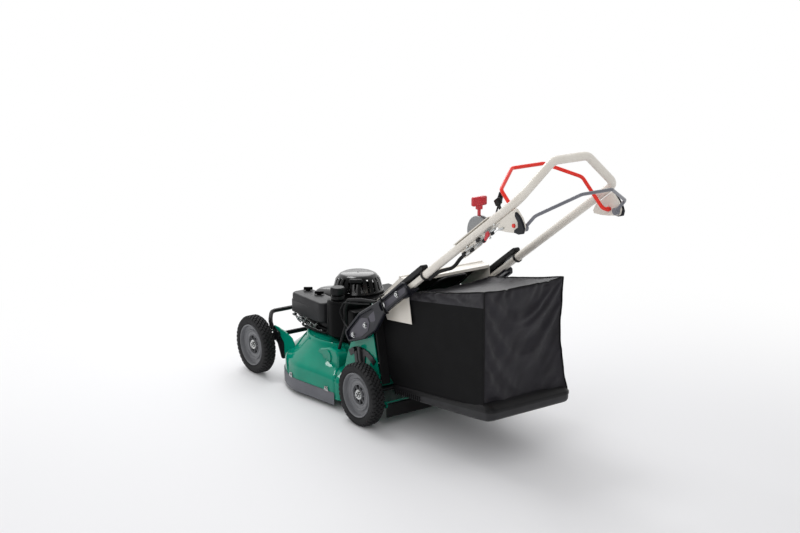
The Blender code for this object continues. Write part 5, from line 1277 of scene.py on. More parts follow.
@dataclass
class Deck(Assembly):
    """The pressed deck with its bumper, guard and drive case."""

    radius: float = 0.28
    side_rear: Pair = (0.252, 0.218)  # where the side ends, from the crank
    side_share: float = 0.97
    proud: float = 0.0003
    arc_steps: int = 72
    side_steps: int = 12
    sheet: float = 0.0012
    tab_angles: tuple[float, ...] = (-8.0, -62.0, -118.0, -172.0)
    # Across, along, and the side's slant in degrees
    side_clip: Triple = (0.2582, -0.23, 7.3)
    # How far in from the rim, how high, how nearly round, and how far the dome stands over the plain solid
    profile: tuple[tuple[float, float, float, float], ...] = (
        (0.0, 0.052, 0.0, 0.0), (0.0, 0.0545, 0.0, 0.0), (0.0, 0.078, 0.0, 0.0), (0.0, 0.099, 0.0, 0.0),
        (0.001, 0.107, 0.0, 0.0015), (0.004, 0.1165, 0.0, 0.0025), (0.01, 0.1225, 0.0, 0.0035),
        (0.018, 0.127, 0.0, 0.0045), (0.03, 0.1345, 0.14, 0.0068), (0.045, 0.142, 0.3, 0.0105),
        (0.06, 0.1525, 0.65, 0.014), (0.072, 0.1605, 1.0, 0.018), (0.079, 0.1675, 1.0, 0.019),
        (0.0825, 0.178, 1.0, 0.014), (0.0845, 0.198, 1.0, 0.0), (0.087, 0.202, 1.0, 0.0),
        (0.0905, 0.2044, 1.0, 0.0), (0.096, 0.2048, 1.0, 0.0),
    )

    def build(self) -> None:
        """Dresses every fixed node below the engine."""
        self.shell()
        self.bumper()
        for node, finish, width in (
            ("front_guard_tube", Skin.BLACK_STEEL, 0.0006),
            ("rear_height_sector", Skin.BLACK_STEEL, 0.0006),
            ("drive_case", Skin.TEAL, 0.002),
            ("gearbox", Skin.BARE_CAST, 0.001),
            ("cover_hinge_pin", Skin.ZINC, 0.0005),
        ):
            self.shop.refine(node, "deck", finish, width)
        for node, body in (
            ("front_axle", "front_axle_assembly"),
            ("front_height_lever", "front_axle_assembly"),
            ("rear_axle", "rear_axle_assembly"),
            ("rear_height_lever", "rear_axle_assembly"),
        ):
            self.shop.refine(node, body, Skin.BLACK_STEEL, 0.001)
        self.shop.refine("drive_shaft", "drive_shaft_assembly", Skin.BLADE, 0.0005)
        self.shop.refine("trailing_skirt", "rear_skirt", Skin.RUBBER, 0.0008)

    def arcs(self) -> list[float]:
        """Gives the angles of the smooth front, in degrees."""
        return [-180 + 180 * k / self.arc_steps for k in range(self.arc_steps + 1)]

    def plan(self, arcs: list[float], shares: list[float]) -> list[tuple[Vector, float]]:
        """Gives the deck's plan from the right side's rear, round the front, to the left side's rear.

        Args:
            arcs: Angles round the front, in degrees.
            shares: Shares of a side's length from the front, growing.

        Returns:
            Each point from the crank, and the share of the side that it lies at.
        """
        side = [
            (Vector((self.radius + (self.side_rear[0] - self.radius) * s, self.side_rear[1] * s)), s)
            for s in shares
        ]
        front = [(Vector((cos(radians(a)), sin(radians(a)))) * self.radius, 0.0) for a in arcs]
        return [(Vector((-p.x, p.y)), s) for p, s in reversed(side)] + front + side

    def ring(
        self, plan: list[tuple[Vector, float]], inset: float, z: float, roundness: float, lift: float,
    ) -> list[Vector]:
        """Shrinks the plan to one level of the pan.

        Args:
            plan: Points from the crank, with their shares of the side.
            inset: How far in from the rim.
            z: The level's height.
            roundness: How nearly round it is.
            lift: How far the dome stands over z.

        Returns:
            The level's points.
        """
        radius = self.radius - inset
        line = []
        for point, share in plan:
            shrunk = point * radius / self.radius
            place = shrunk.lerp(point.normalized() * radius, roundness)
            fade = 1.0 - min(1.0, max(0.0, (share - 0.45) / (self.side_share - 0.45)))
            fade = fade * fade * (3 - 2 * fade)
            line.append(placed(place.x, place.y + CRANK_Y, z + lift * fade))
        return line

    def shell(self) -> None:
        """Stands a smooth pressed pan in for the faceted one and keeps the rest of the shell."""
        shell = self.shop.smooth_copy("deck_shell")
        facets = self.plan([-180 + 11.25 * k for k in range(17)], [0.35, 0.7, self.side_share])
        levels = (
            (0.0, 0.052, 0.0), (0.0, 0.104, 0.0), (0.004, 0.117, 0.0), (0.018, 0.127, 0.0),
            (0.045, 0.142, 0.3), (0.075, 0.162, 1.0), (0.082, 0.17, 1.0), (0.084, 0.198, 1.0),
            (0.09, 0.204, 1.0),
        )
        plain = self.sheet_of([self.ring(facets, inset, z, round_, 0.0) for inset, z, round_ in levels])
        outer = BVHTree.FromBMesh(plain)
        plain.free()
        mesh = bmesh.new()
        mesh.from_mesh(shell.data)
        rear = CRANK_Y + self.side_rear[1] * self.side_share - MIDDLE_Y
        gone = []
        for face in mesh.faces:
            centre = face.calc_center_median()
            _, normal, _, gap = outer.find_nearest(centre)
            if centre.y < rear and gap < 0.0008 and abs(normal.dot(face.normal)) > 0.9:
                gone.append(face)
        LOG.info("%d facets of the pan give way to the pressed skin", len(gone))
        bmesh.ops.delete(mesh, geom=gone, context="FACES")
        mesh.to_mesh(shell.data)
        mesh.free()
        self.shop.fit(bevelled(shell, 0.0012, 2, 38), "deck", Skin.TEAL, ("deck_shell",))
        end = self.side_share + 0.02
        smooth = self.plan(self.arcs(), [end * (k + 1) / self.side_steps for k in range(self.side_steps)])
        levels = [
            (inset - self.proud, z + self.proud * (k > 7), *rest)
            for k, (inset, z, *rest) in enumerate(self.profile)
        ]
        skin = from_bmesh("deck_pan_skin", self.sheet_of([self.ring(smooth, *level) for level in levels]), 60)
        wall = skin.modifiers.new("wall", "SOLIDIFY")
        wall.thickness = self.sheet
        wall.offset = -1
        self.shop.fit(skin, "deck", Skin.TEAL)

    @staticmethod
    def sheet_of(rings: list[list[Vector]]) -> Mesh:
        """Joins open rings of equal count into one sheet that faces outwards.

        Args:
            rings: The places of each ring, from the lowest up.

        Returns:
            The sheet.
        """
        mesh = bmesh.new()
        rows = [[mesh.verts.new(place) for place in ring] for ring in rings]
        bridge(mesh, rows, around=False)
        mesh.normal_update()
        return mesh

    def bumper(self) -> None:
        """Makes the smooth band round the rim, its clips and their bolts."""
        # The section runs from 15 mm over the floor up to the rim, so the band's mid grey fills the space
        # below the pan's lower edge
        section = [
            (-0.0002, 0.015), (0.0024, 0.015), (0.0036, 0.0164), (0.0046, 0.05), (0.0046, 0.059),
            (0.0034, 0.0612), (-0.0002, 0.0616),
        ]
        mesh = bmesh.new()
        rings = []
        for point, _ in self.plan(self.arcs(), [0.2, 0.4, 0.6, 0.8, self.side_share]):
            out = point.normalized()
            rings.append([
                mesh.verts.new(placed(*(point + out * reach), z) + Vector((0, CRANK_Y, 0)))
                for reach, z in section
            ])
        band = bevelled(lofted("bumper_band", mesh, rings), 0.0008, 2)
        self.shop.fit(band, "deck", Skin.EDGE_BAND, ("front_bumper",))
        clips = []
        turns = [
            Matrix.Translation(placed(0, CRANK_Y, 0)) @ Matrix.Rotation(radians(angle), 4, "Z")
            for angle in self.tab_angles
        ]
        side_x, side_y, slant = self.side_clip
        for side in (1, -1):
            spin = Matrix.Rotation(radians(90 - side * (90 - slant)), 4, "Z")
            spin = Matrix.Translation(placed(side * side_x, side_y, 0)) @ spin
            turns.append(spin @ Matrix.Translation((-self.radius, 0, 0)))
        for turn in turns:
            reach = self.radius + 0.0052
            outline = [(-0.0125, 0.06), (0.0125, 0.06), (0.007, 0.077), (-0.007, 0.077)]
            clip = bevelled(slab("clip", outline, Axis.X, self.radius - 0.001, reach), 0.001, 2)
            head = revolved(
                "head", [(0.0, 0.0), (0.0056, 0.0), (0.0056, 0.003), (0.0046, 0.0038), (0.0, 0.0038)], Axis.X,
                Vector((reach, 0, 0.069)), 6,
            )
            for piece in (clip, head):
                piece.data.transform(turn)
                clips.append(piece)
        self.shop.fit(joined("bumper_clips", clips), "deck", Skin.ZINC)


@dataclass
class Engine(Assembly):
    """The vertical-shaft engine with its shroud, tank and air box."""

    cap_ribs: int = 26
    cap_place: Pair = (0.134, -0.338)
    cap_radius: float = 0.0262
    box_low: Triple = (0.062, -0.635, 0.2505)
    box_high: Triple = (0.158, -0.414, 0.327)
    knobs: Outline = ((0.0925, -0.605), (0.0908, -0.5294))
    knob_turn: float = radians(-35)
    hose: Places = (
        (0.128, -0.58, 0.214), (0.15, -0.56, 0.2115), (0.152, -0.47, 0.2115), (0.146, -0.4, 0.216),
        (0.134, -0.372, 0.24),
    )
    plates: tuple[tuple[str, float, Outline], ...] = (
        ("plate", 0.129, (
            (-0.632, 0.25), (-0.56, 0.25), (-0.545, 0.236), (-0.527, 0.214), (-0.545, 0.208), (-0.572, 0.222),
            (-0.618, 0.232),
        )),
        ("lever", 0.136, (
            (-0.642, 0.238), (-0.63, 0.243), (-0.605, 0.222), (-0.588, 0.216), (-0.592, 0.208),
            (-0.614, 0.214),
        )),
        ("arm", 0.139, (
            (-0.56, 0.25), (-0.546, 0.25), (-0.505, 0.234), (-0.466, 0.238), (-0.462, 0.23), (-0.505, 0.224),
        )),
        ("stay", 0.131, ((-0.5, 0.226), (-0.455, 0.222), (-0.432, 0.214), (-0.432, 0.2052), (-0.5, 0.2052))),
    )
    screws: Places = (
        (-0.63, 0.236, 0.0046), (-0.6, 0.226, 0.0034), (-0.544, 0.2365, 0.005), (-0.508, 0.229, 0.0036),
        (-0.4814, 0.224, 0.0054), (-0.4414, 0.214, 0.0052), (-0.558, 0.244, 0.0032), (-0.47, 0.234, 0.0034),
    )
    rods: tuple[tuple[Triple, Triple, float], ...] = (
        ((0.144, -0.63, 0.23), (0.144, -0.545, 0.242), 0.0011),
        ((0.145, -0.545, 0.24), (0.145, -0.481, 0.228), 0.0011),
        ((0.144, -0.6, 0.222), (0.144, -0.508, 0.214), 0.0013),
        ((0.144, -0.508, 0.214), (0.14, -0.441, 0.212), 0.0013),
        ((0.128, -0.592, 0.218), (0.142, -0.592, 0.218), 0.0052),
        ((0.118, -0.566, 0.185), (0.118, -0.566, 0.195), 0.0042),
    )

    def build(self) -> None:
        """Dresses every node of the engine."""
        for node, finish, width in (
            ("engine_block", Skin.ALUMINIUM, 0.0008),
            ("blower_housing", Skin.GLOSS_PLASTIC, 0.003),
            ("fuel_cap", Skin.BLACK_PLASTIC, 0.0008),
            ("carburettor", Skin.ALUMINIUM, 0.0008),
            ("muffler", Skin.BLACK_STEEL, 0.001),
            ("spark_plug_cap", Skin.RUBBER, 0.0012),
            ("recoil_cover", Skin.SHROUD, 0.0008),
            ("air_cleaner_case", Skin.BOX_PLASTIC, 0.003),
        ):
            self.shop.refine(node, "deck", finish, width)
        for node, finish in (
            ("crankshaft", Skin.BLADE),
            ("flywheel_fan", Skin.ALUMINIUM),
            ("blade_adapter", Skin.BLADE),
            ("blade", Skin.BLADE),
        ):
            self.shop.refine(node, "crankshaft_assembly", finish, 0.0006)
        self.shop.refine("starter_grip", "starter_pull", Skin.BLACK_PLASTIC, 0.0012)
        self.tank()
        self.air_box()
        self.linkage()
        self.cowls()

    def tank(self) -> None:
        """Makes the blow-moulded tank, the collar round its neck and the ribs of its cap."""
        self.shop.refine("fuel_tank", "deck", Skin.GLOSS_PLASTIC, 0.002)
        profile = [
            (0.0232, 0.364), (0.0256, 0.364), (0.0256, 0.3745), (0.0246, 0.376), (0.0232, 0.376),
            (0.0232, 0.364),
        ]
        collar = revolved("tank_collar", profile, Axis.Z, placed(*self.cap_place, 0), 36)
        self.shop.fit(collar, "deck", Skin.BLACK_PLASTIC)
        rib = block(
            "rib", Vector((self.cap_radius - 0.0014, -0.0011, 0)),
            Vector((self.cap_radius + 0.0008, 0.0011, 0.019)),
        )
        ribs = self.shop.ring(rib, self.cap_ribs, Axis.Z, placed(*self.cap_place, 0.385), Skin.BLACK_PLASTIC)
        ribs.name = "cap_ribs"
        self.shop.fit(ribs, "deck", Skin.BLACK_PLASTIC)

    def air_box(self) -> None:
        """Makes the deep air box lid with two wing knobs in their wells."""
        lid = rounded_block(
            "air_box_lid", placed(*self.box_low), placed(*self.box_high), 0.026, 0.008, 0.0015,
        )
        self.shop.fit(lid, "deck", Skin.BOX_PLASTIC, ("air_cleaner_lid",))
        wells, knobs = [], []
        top = self.box_high[2]
        for x, y in self.knobs:
            centre = placed(x, y, 0)
            ring = [
                (0.0, top + 0.0004), (0.016, top + 0.0004), (0.0172, top + 0.0018), (0.019, top + 0.0012),
                (0.019, top - 0.001), (0.0, top - 0.001),
            ]
            wells.append(revolved("well", ring, Axis.Z, centre, 36))
            base = [(0.0, top), (0.01, top), (0.01, top + 0.007), (0.0085, top + 0.0085), (0.0, top + 0.0085)]
            knobs.append(revolved("base", base, Axis.Z, centre, 24))
            low = centre + Vector((-0.0175, -0.0044, top + 0.003))
            high = centre + Vector((0.0175, 0.0044, top + 0.014))
            wing = rounded_block("wing", low, high, 0.0042, 0.0026)
            spin = Matrix.Rotation(self.knob_turn, 4, "Z") @ Matrix.Translation(-centre)
            wing.data.transform(Matrix.Translation(centre) @ spin)
            knobs.append(wing)
        self.shop.fit(joined("air_box_wells", wells), "deck", Skin.BLACK_PLASTIC)
        self.shop.fit(joined("air_box_knobs", knobs), "deck", Skin.GLOSS_PLASTIC)

    def linkage(self) -> None:
        """Makes the governor springs, rods, screws and levers that hang under the air box."""
        body = bevelled(block("body", placed(0.1, -0.604, 0.208), placed(0.128, -0.53, 0.25)), 0.004, 3)
        bowl = revolved(
            "bowl", [(0.0, 0.19), (0.0095, 0.19), (0.0115, 0.192), (0.0115, 0.21), (0.0, 0.21)], Axis.Z,
            placed(0.118, -0.566, 0), 28,
        )
        foot = bevelled(block("foot", placed(0.1, -0.53, 0.2052), placed(0.13, -0.42, 0.248)), 0.005, 3)
        self.shop.fit(joined("choke_body", [body, foot]), "deck", Skin.ALUMINIUM)
        self.shop.fit(bowl, "deck", Skin.BARE_CAST)
        plates = []
        for name, face, outline in self.plates:
            plate = slab(name, side_view(outline), Axis.X, face, face + 0.002)
            plates.append(bevelled(plate, 0.0006, 2))
        self.shop.fit(joined("governor_plates", plates), "deck", Skin.BLACK_STEEL)
        parts = []
        for y, z, size in self.screws:
            head = [
                (0.0, 0.128), (size * 0.5, 0.128), (size * 0.5, 0.141), (size * 1.3, 0.141),
                (size * 1.3, 0.1424), (size, 0.1426), (size, 0.1476), (size * 0.8, 0.1484), (0.0, 0.1484),
            ]
            parts.append(revolved("screw", head, Axis.X, placed(0, y, z), 6))
        for a, b, size in self.rods:
            parts.append(tube("rod", [placed(*a), placed(*b)], size, 0.0, 12))
        parts.append(self.shop.spring(
            "governor_spring", placed(0.1445, -0.598, 0.232), placed(0.1445, -0.55, 0.224), 0.0036, 0.0007,
            11, Skin.ZINC,
        ))
        parts.append(self.shop.spring(
            "choke_spring", placed(0.144, -0.538, 0.226), placed(0.144, -0.505, 0.22), 0.003, 0.0006, 8,
            Skin.ZINC,
        ))
        self.shop.fit(joined("governor_linkage", parts), "deck", Skin.ZINC)
        route = [placed(*place) for place in self.hose]
        self.shop.cord("fuel_hose", "deck", route, 0.0042, 0.022, Skin.RUBBER)

    def cowls(self) -> None:
        """Makes the cooling duct between air box and starter, the crankcase foot and the rear cowl."""
        low, high = placed(-0.05, -0.652, 0.262), placed(0.056, -0.47, 0.354)
        duct = rounded_block("cooling_duct", low, high, 0.045, 0.04)
        for vertex in duct.data.vertices:
            rise = (vertex.co.z - low.z) / (high.z - low.z)
            vertex.co.z -= rise * (high.y - vertex.co.y) * 0.18
        self.shop.fit(duct, "deck", Skin.SHROUD)
        foot = rounded_block(
            "crankcase_foot", placed(-0.12, -0.505, 0.2046), placed(0.14, -0.262, 0.23), 0.03, 0.006,
        )
        rear = rounded_block(
            "rear_cowl", placed(-0.12, -0.256, 0.205), placed(0.15, -0.206, 0.342), 0.012, 0.008,
        )
        self.shop.fit(joined("crankcase_cowls", [foot, rear]), "deck", Skin.GLOSS_PLASTIC)


@dataclass
class Handle(Assembly):
    """The folding handle with its brackets, bails and controls."""

    radius: float = 0.014
    brake_radius: float = 0.0062
    drive_radius: float = 0.0054
    web_floor: float = 0.2236
    bracket_bolts: Outline = ((-0.104, 0.299), (-0.03, 0.352), (0.158, 0.5085))
    trip: Outline = (
        (0.6, -0.043), (0.637, -0.034), (0.643, -0.02), (0.63, -0.016), (0.618, -0.028), (0.598, -0.034),
    )
    cam: Outline = (
        (0.75, 0.902), (0.768, 0.892), (0.784, 0.874), (0.792, 0.856), (0.788, 0.84), (0.768, 0.834),
        (0.746, 0.836), (0.748, 0.846), (0.764, 0.856), (0.762, 0.872), (0.748, 0.888),
    )
    control_x: float = 0.2045
    lower_run: Places = (
        (0.1988, 0.0, 0.44), (0.1958, -0.1, 0.425), (0.19, -0.19, 0.402), (0.188, -0.212, 0.36),
        (0.188, -0.206, 0.3), (0.188, -0.25, 0.2028),
    )
    loop_run: Places = (
        (0.205, -0.03, 0.426), (0.2, -0.11, 0.408), (0.1955, -0.205, 0.39), (0.196, -0.234, 0.352),
        (0.2, -0.205, 0.32), (0.211, -0.155, 0.306),
    )
    strap: Places = (
        (0.216, 0.072, 0.486), (0.2348, 0.073, 0.485), (0.2348, 0.1045, 0.43), (0.22, 0.1052, 0.4296),
    )
    webs: tuple[Outline, ...] = (
        (
            (-0.1309, 0.2882), (-0.1164, 0.3152), (-0.057, 0.374), (-0.016, 0.381), (-0.005, 0.3675),
            (-0.0135, 0.336), (-0.0607, 0.2994), (-0.0999, 0.2894),
        ),
        ((-0.01, 0.39), (0.0495, 0.44), (0.064, 0.433), (0.0303, 0.3827), (0.0032, 0.3728)),
        ((0.08, 0.46), (0.1752, 0.529), (0.2, 0.544), (0.2215, 0.532), (0.106, 0.452), (0.088, 0.442)),
    )
    wires: tuple[tuple[float, float, float, float, float], ...] = (
        (0.502, -0.024, 0.532, -0.026, 0.004), (0.532, -0.026, 0.548, -0.027, 0.003),
        (0.498, -0.036, 0.522, -0.037, 0.004), (0.548, -0.027, 0.705, -0.022, 0.0009),
        (0.522, -0.037, 0.7, -0.037, 0.0009), (0.59, -0.012, 0.612, -0.04, 0.0016),
        (0.64, -0.01, 0.652, -0.04, 0.0016), (0.656, -0.028, 0.676, -0.028, 0.0036),
        (0.69, -0.038, 0.716, -0.044, 0.003),
    )
    clips: tuple[tuple[float, float, float, float], ...] = (
        (0.532, -0.036, 0.016, 0.009), (0.578, -0.022, 0.02, 0.01), (0.604, -0.036, 0.012, 0.012),
        (0.655, -0.034, 0.014, 0.01), (0.486, -0.03, 0.018, 0.014),
    )

    def build(self) -> None:
        """Dresses the handle's nodes and replaces its tubes with round ones."""
        self.bar()
        self.bails()
        for side in ("left", "right"):
            self.shop.refine(f"handle_bracket_{side}", "deck", Skin.CASTING, 0.0014)
            self.shop.refine(f"pivot_bolt_{side}", "deck", Skin.ZINC, 0.0005)
            self.shop.refine(f"handle_lower_tube_{side}", "handle", Skin.CREAM, 0.0004, 50)
            self.shop.refine(f"fold_latch_{side}", f"{side}_latch", Skin.BLACK_PLASTIC, 0.002)
            self.shop.refine(f"lever_bracket_{side}", "handle", Skin.CREAM, 0.0006)
        self.shop.refine("console_plate", "handle", Skin.CREAM, 0.0005)
        self.shop.refine("throttle_housing", "handle", Skin.GREY_PLASTIC, 0.0016)
        self.shop.refine("throttle_lever", "throttle", Skin.RED_PLASTIC, 0.001)
        self.shop.refine("drive_lever", "drive_engagement", Skin.BLACK_PLASTIC, 0.0008)
        self.shop.refine("speed_lever", "speed_selector", Skin.BLACK_PLASTIC, 0.0008)
        self.cables()
        self.brackets()
        self.controls()

    def cables(self) -> None:
        """Makes the sheathed cables between the controls, the joint and the drive."""
        upper = [
            on_handle(0.4677, -0.0291, 0.194), on_handle(0.446, -0.0291, 0.194),
            on_handle(0.4, -0.0406, 0.196), on_handle(0.325, -0.0206, 0.2), on_handle(0.262, -0.0206, 0.2),
        ]
        self.shop.cord("upper_cable_run", "handle", upper, 0.006, 0.12, Skin.RUBBER, ("handle_cables",))
        lower = [placed(*place) for place in self.lower_run]
        self.shop.cord("lower_cable_run", "deck", lower, 0.006, 0.03, Skin.RUBBER, ("deck_cables",))
        loop = [placed(*place) for place in self.loop_run]
        self.shop.cord("throttle_cable_loop", "deck", loop, 0.0026, 0.02, Skin.RUBBER)

    def brackets(self) -> None:
        """Adds the pale web, the bolts and the tie strap of both fold brackets, and the joint collars."""
        for side, label in SIDES:
            floor, skin = sorted((side * self.web_floor, side * (self.web_floor + 0.0009)))
            plates = [slab("web", side_view(web), Axis.X, floor, skin) for web in self.webs]
            self.shop.fit(joined(f"bracket_web_{label}", plates), "deck", Skin.CAST_WEB)
            nuts, holes = [], []
            for y, z in self.bracket_bolts:
                base = self.web_floor + 0.0006
                washer = [(0.0036, base), (0.0105, base), (0.0105, base + 0.0014), (0.0036, base + 0.0014)]
                hexagon = [
                    (0.0036, base), (0.008, base), (0.008, base + 0.0056), (0.0072, base + 0.0064),
                    (0.0036, base + 0.0064),
                ]
                nuts.append(revolved(
                    "washer", facing(washer, side), Axis.X, placed(0, y, z), 28, closed=True,
                ))
                nuts.append(revolved("nut", facing(hexagon, side), Axis.X, placed(0, y, z), 6, closed=True))
                hole = [(0.0, base), (0.0037, base), (0.0037, base + 0.003), (0.0, base + 0.003)]
                holes.append(revolved("hole", facing(hole, side), Axis.X, placed(0, y, z), 16))
            self.shop.fit(joined(f"bracket_nuts_{label}", nuts), "deck", Skin.ZINC)
            self.shop.fit(joined(f"bracket_nut_bores_{label}", holes), "deck", Skin.BLACK_STEEL)
            strap = [placed(side * x, y, z) for x, y, z in self.strap]
            self.shop.fit(tube(f"tie_strap_{label}", strap, 0.0029, 0.005, 10), "deck", Skin.BLACK_PLASTIC)
            profile = [
                (0.0152, -0.0052), (0.0168, -0.0052), (0.0178, -0.004), (0.0178, 0.004), (0.0168, 0.0052),
                (0.0152, 0.0052),
            ]
            collar = revolved(f"joint_collar_{label}", profile, Axis.Z, Vector(), 32, closed=True)
            turned(collar, on_handle(0.2476, 0, side * HANDLE_X), on_handle(1, 0, 0) - on_handle(0, 0, 0))
            self.shop.fit(collar, "handle", Skin.BLACK_PLASTIC)

    def under(self, along: float, above: float) -> Vector:
        """Gives a place beside the left tube, where its controls are."""
        return on_handle(along, above, self.control_x)

    def controls(self) -> None:
        """Adds the springs, cable ends, clips and red trip lever under the left tube, and the cam cover."""
        wires = [
            tube("wire", [self.under(a, b), self.under(c, d)], size, 0.0, 10)
            for a, b, c, d, size in self.wires
        ]
        wires.append(self.shop.spring(
            "trip_spring", self.under(0.556, -0.034), self.under(0.598, -0.036), 0.0042, 0.0008, 11,
            Skin.ZINC,
        ))
        wires.append(self.shop.spring(
            "return_spring", self.under(0.618, -0.018), self.under(0.66, -0.016), 0.0036, 0.0008, 10,
            Skin.ZINC,
        ))
        for along, above in ((0.512, -0.016), (0.566, -0.02), (0.634, -0.04), (0.676, -0.014)):
            screw = revolved(
                "screw", [(0.0, 0.2002), (0.0046, 0.2002), (0.0046, 0.204), (0.0036, 0.2048), (0.0, 0.2048)],
                Axis.X, Vector(), 6,
            )
            screw.data.transform(Matrix.Translation(on_handle(along, above, 0.0)))
            wires.append(screw)
        self.shop.fit(joined("control_wires", wires), "handle", Skin.ZINC)
        clips = []
        for along, above, length, height in self.clips:
            clip = rounded_block(
                "clip", Vector((0.2004, -height / 2, -length / 2)), Vector((0.2074, height / 2, length / 2)),
                0.0015, 0.0012,
            )
            lean = Matrix.Rotation(HANDLE_SLOPE - pi / 2, 4, "X")
            clip.data.transform(Matrix.Translation(on_handle(along, above, 0.0)) @ lean)
            clips.append(clip)
        self.shop.fit(joined("control_clips", clips), "handle", Skin.BLACK_PLASTIC)
        spots = [on_handle(a, b, 0.0) for a, b in self.trip]
        lever = slab("trip_lever", [(spot.y, spot.z) for spot in spots], Axis.X, 0.2008, 0.2068)
        self.shop.fit(bevelled(lever, 0.0012, 2), "handle", Skin.RED_PLASTIC)
        for side, label in SIDES:
            low, high = sorted((side * 0.2034, side * 0.212))
            cover = slab(f"cam_cover_{label}", side_view(self.cam), Axis.X, low, high)
            self.shop.fit(bevelled(cover, 0.002, 3), "handle", Skin.CASTING)

    def bar(self) -> None:
        """Makes the upper handle as one smooth bent tube."""
        start = on_handle(0.252, 0.0, HANDLE_X)
        half = [start, placed(0.198, 0.753, 0.939), placed(0.071, 0.76, 1.0453)]
        piece = tube("handle_tube", mirrored(half), self.radius, 0.045, 28)
        self.shop.fit(piece, "handle", Skin.CREAM, ("handle_bar",))

    def bails(self) -> None:
        """Makes the red and the grey bail rods."""
        out = HANDLE_X + 0.007
        half = [
            placed(out, 0.737, 0.855), placed(0.17, 0.737, 0.855), placed(0.17, 0.633, 0.945),
            placed(0.067, 0.562, 0.99),
        ]
        rod = tube("brake_bail_rod", mirrored(half), self.brake_radius, 0.022, 20)
        profile = [
            (0.0, -0.0055), (0.0045, -0.0045), (0.0078, -0.001), (0.0085, 0.003), (0.0072, 0.0075),
            (0.004, 0.0102), (0.0, 0.011),
        ]
        ball = revolved("ball", profile, Axis.X, placed(-(HANDLE_X - 0.009), 0.737, 0.855), 24)
        piece = joined("brake_bail_rod", [rod, ball])
        self.shop.fit(piece, "brake_bail", Skin.RED_ROD, ("blade_brake_bail",))
        half = [placed(0.189, 0.772, 0.854), placed(0.187, 0.815, 0.898), placed(0.062, 0.8822, 0.96)]
        pieces = [tube("drive_rod", mirrored(half), self.drive_radius, 0.02, 20)]
        inner = HANDLE_X - 0.003 - 0.0008
        hub = (
            (0.0, inner - 0.013), (0.011, inner - 0.013), (0.012, inner - 0.012), (0.012, inner),
            (0.005, inner), (0.005, 0.209), (0.0, 0.209),
        )
        for side in (1, -1):
            pieces.append(revolved("hub", facing(hub, side), Axis.X, placed(0, 0.772, 0.854), 28))
        piece = joined("drive_bail_grip", pieces)
        self.shop.fit(piece, "drive_bail_rod", Skin.GREY_ROD, ("drive_bail",))


@dataclass(frozen=True)
class Patch:
    """One sewn panel of the hood, stretched between four edges of equal count on opposite sides.

    Args:
        name: The panel's name.
        low: Its lower edge.
        high: Its upper edge.
        left: Its first side, from the lower edge up.
        right: Its other side, from the lower edge up.
        finish: The cloth that it is cut from.
    """

    name: str
    low: list[Vector]
    high: list[Vector]
    left: list[Vector]
    right: list[Vector]
    finish: Skin

    def place(self, i: int, j: int) -> Vector:
        """Gives the point at a column and a row, blended from the four edges.

        Args:
            i: The column.
            j: The row.

        Returns:
            The point.
        """
        u, v = i / (len(self.low) - 1), j / (len(self.left) - 1)
        across = self.left[j].lerp(self.right[j], u)
        along = self.low[i].lerp(self.high[i], v)
        corners = self.low[0].lerp(self.low[-1], u).lerp(self.high[0].lerp(self.high[-1], u), v)
        return across + along - corners


def divided(corners: list[Vector], pieces: list[int]) -> list[Vector]:
    """Divides each stretch between corners into equal steps.

    Args:
        corners: The corners of the line.
        pieces: The steps in each stretch.

    Returns:
        All points of the line.
    """
    line = [corners[0].copy()]
    for start, end, steps in zip(corners, corners[1:], pieces):
        line.extend(start.lerp(end, (k + 1) / steps) for k in range(steps))
    return line


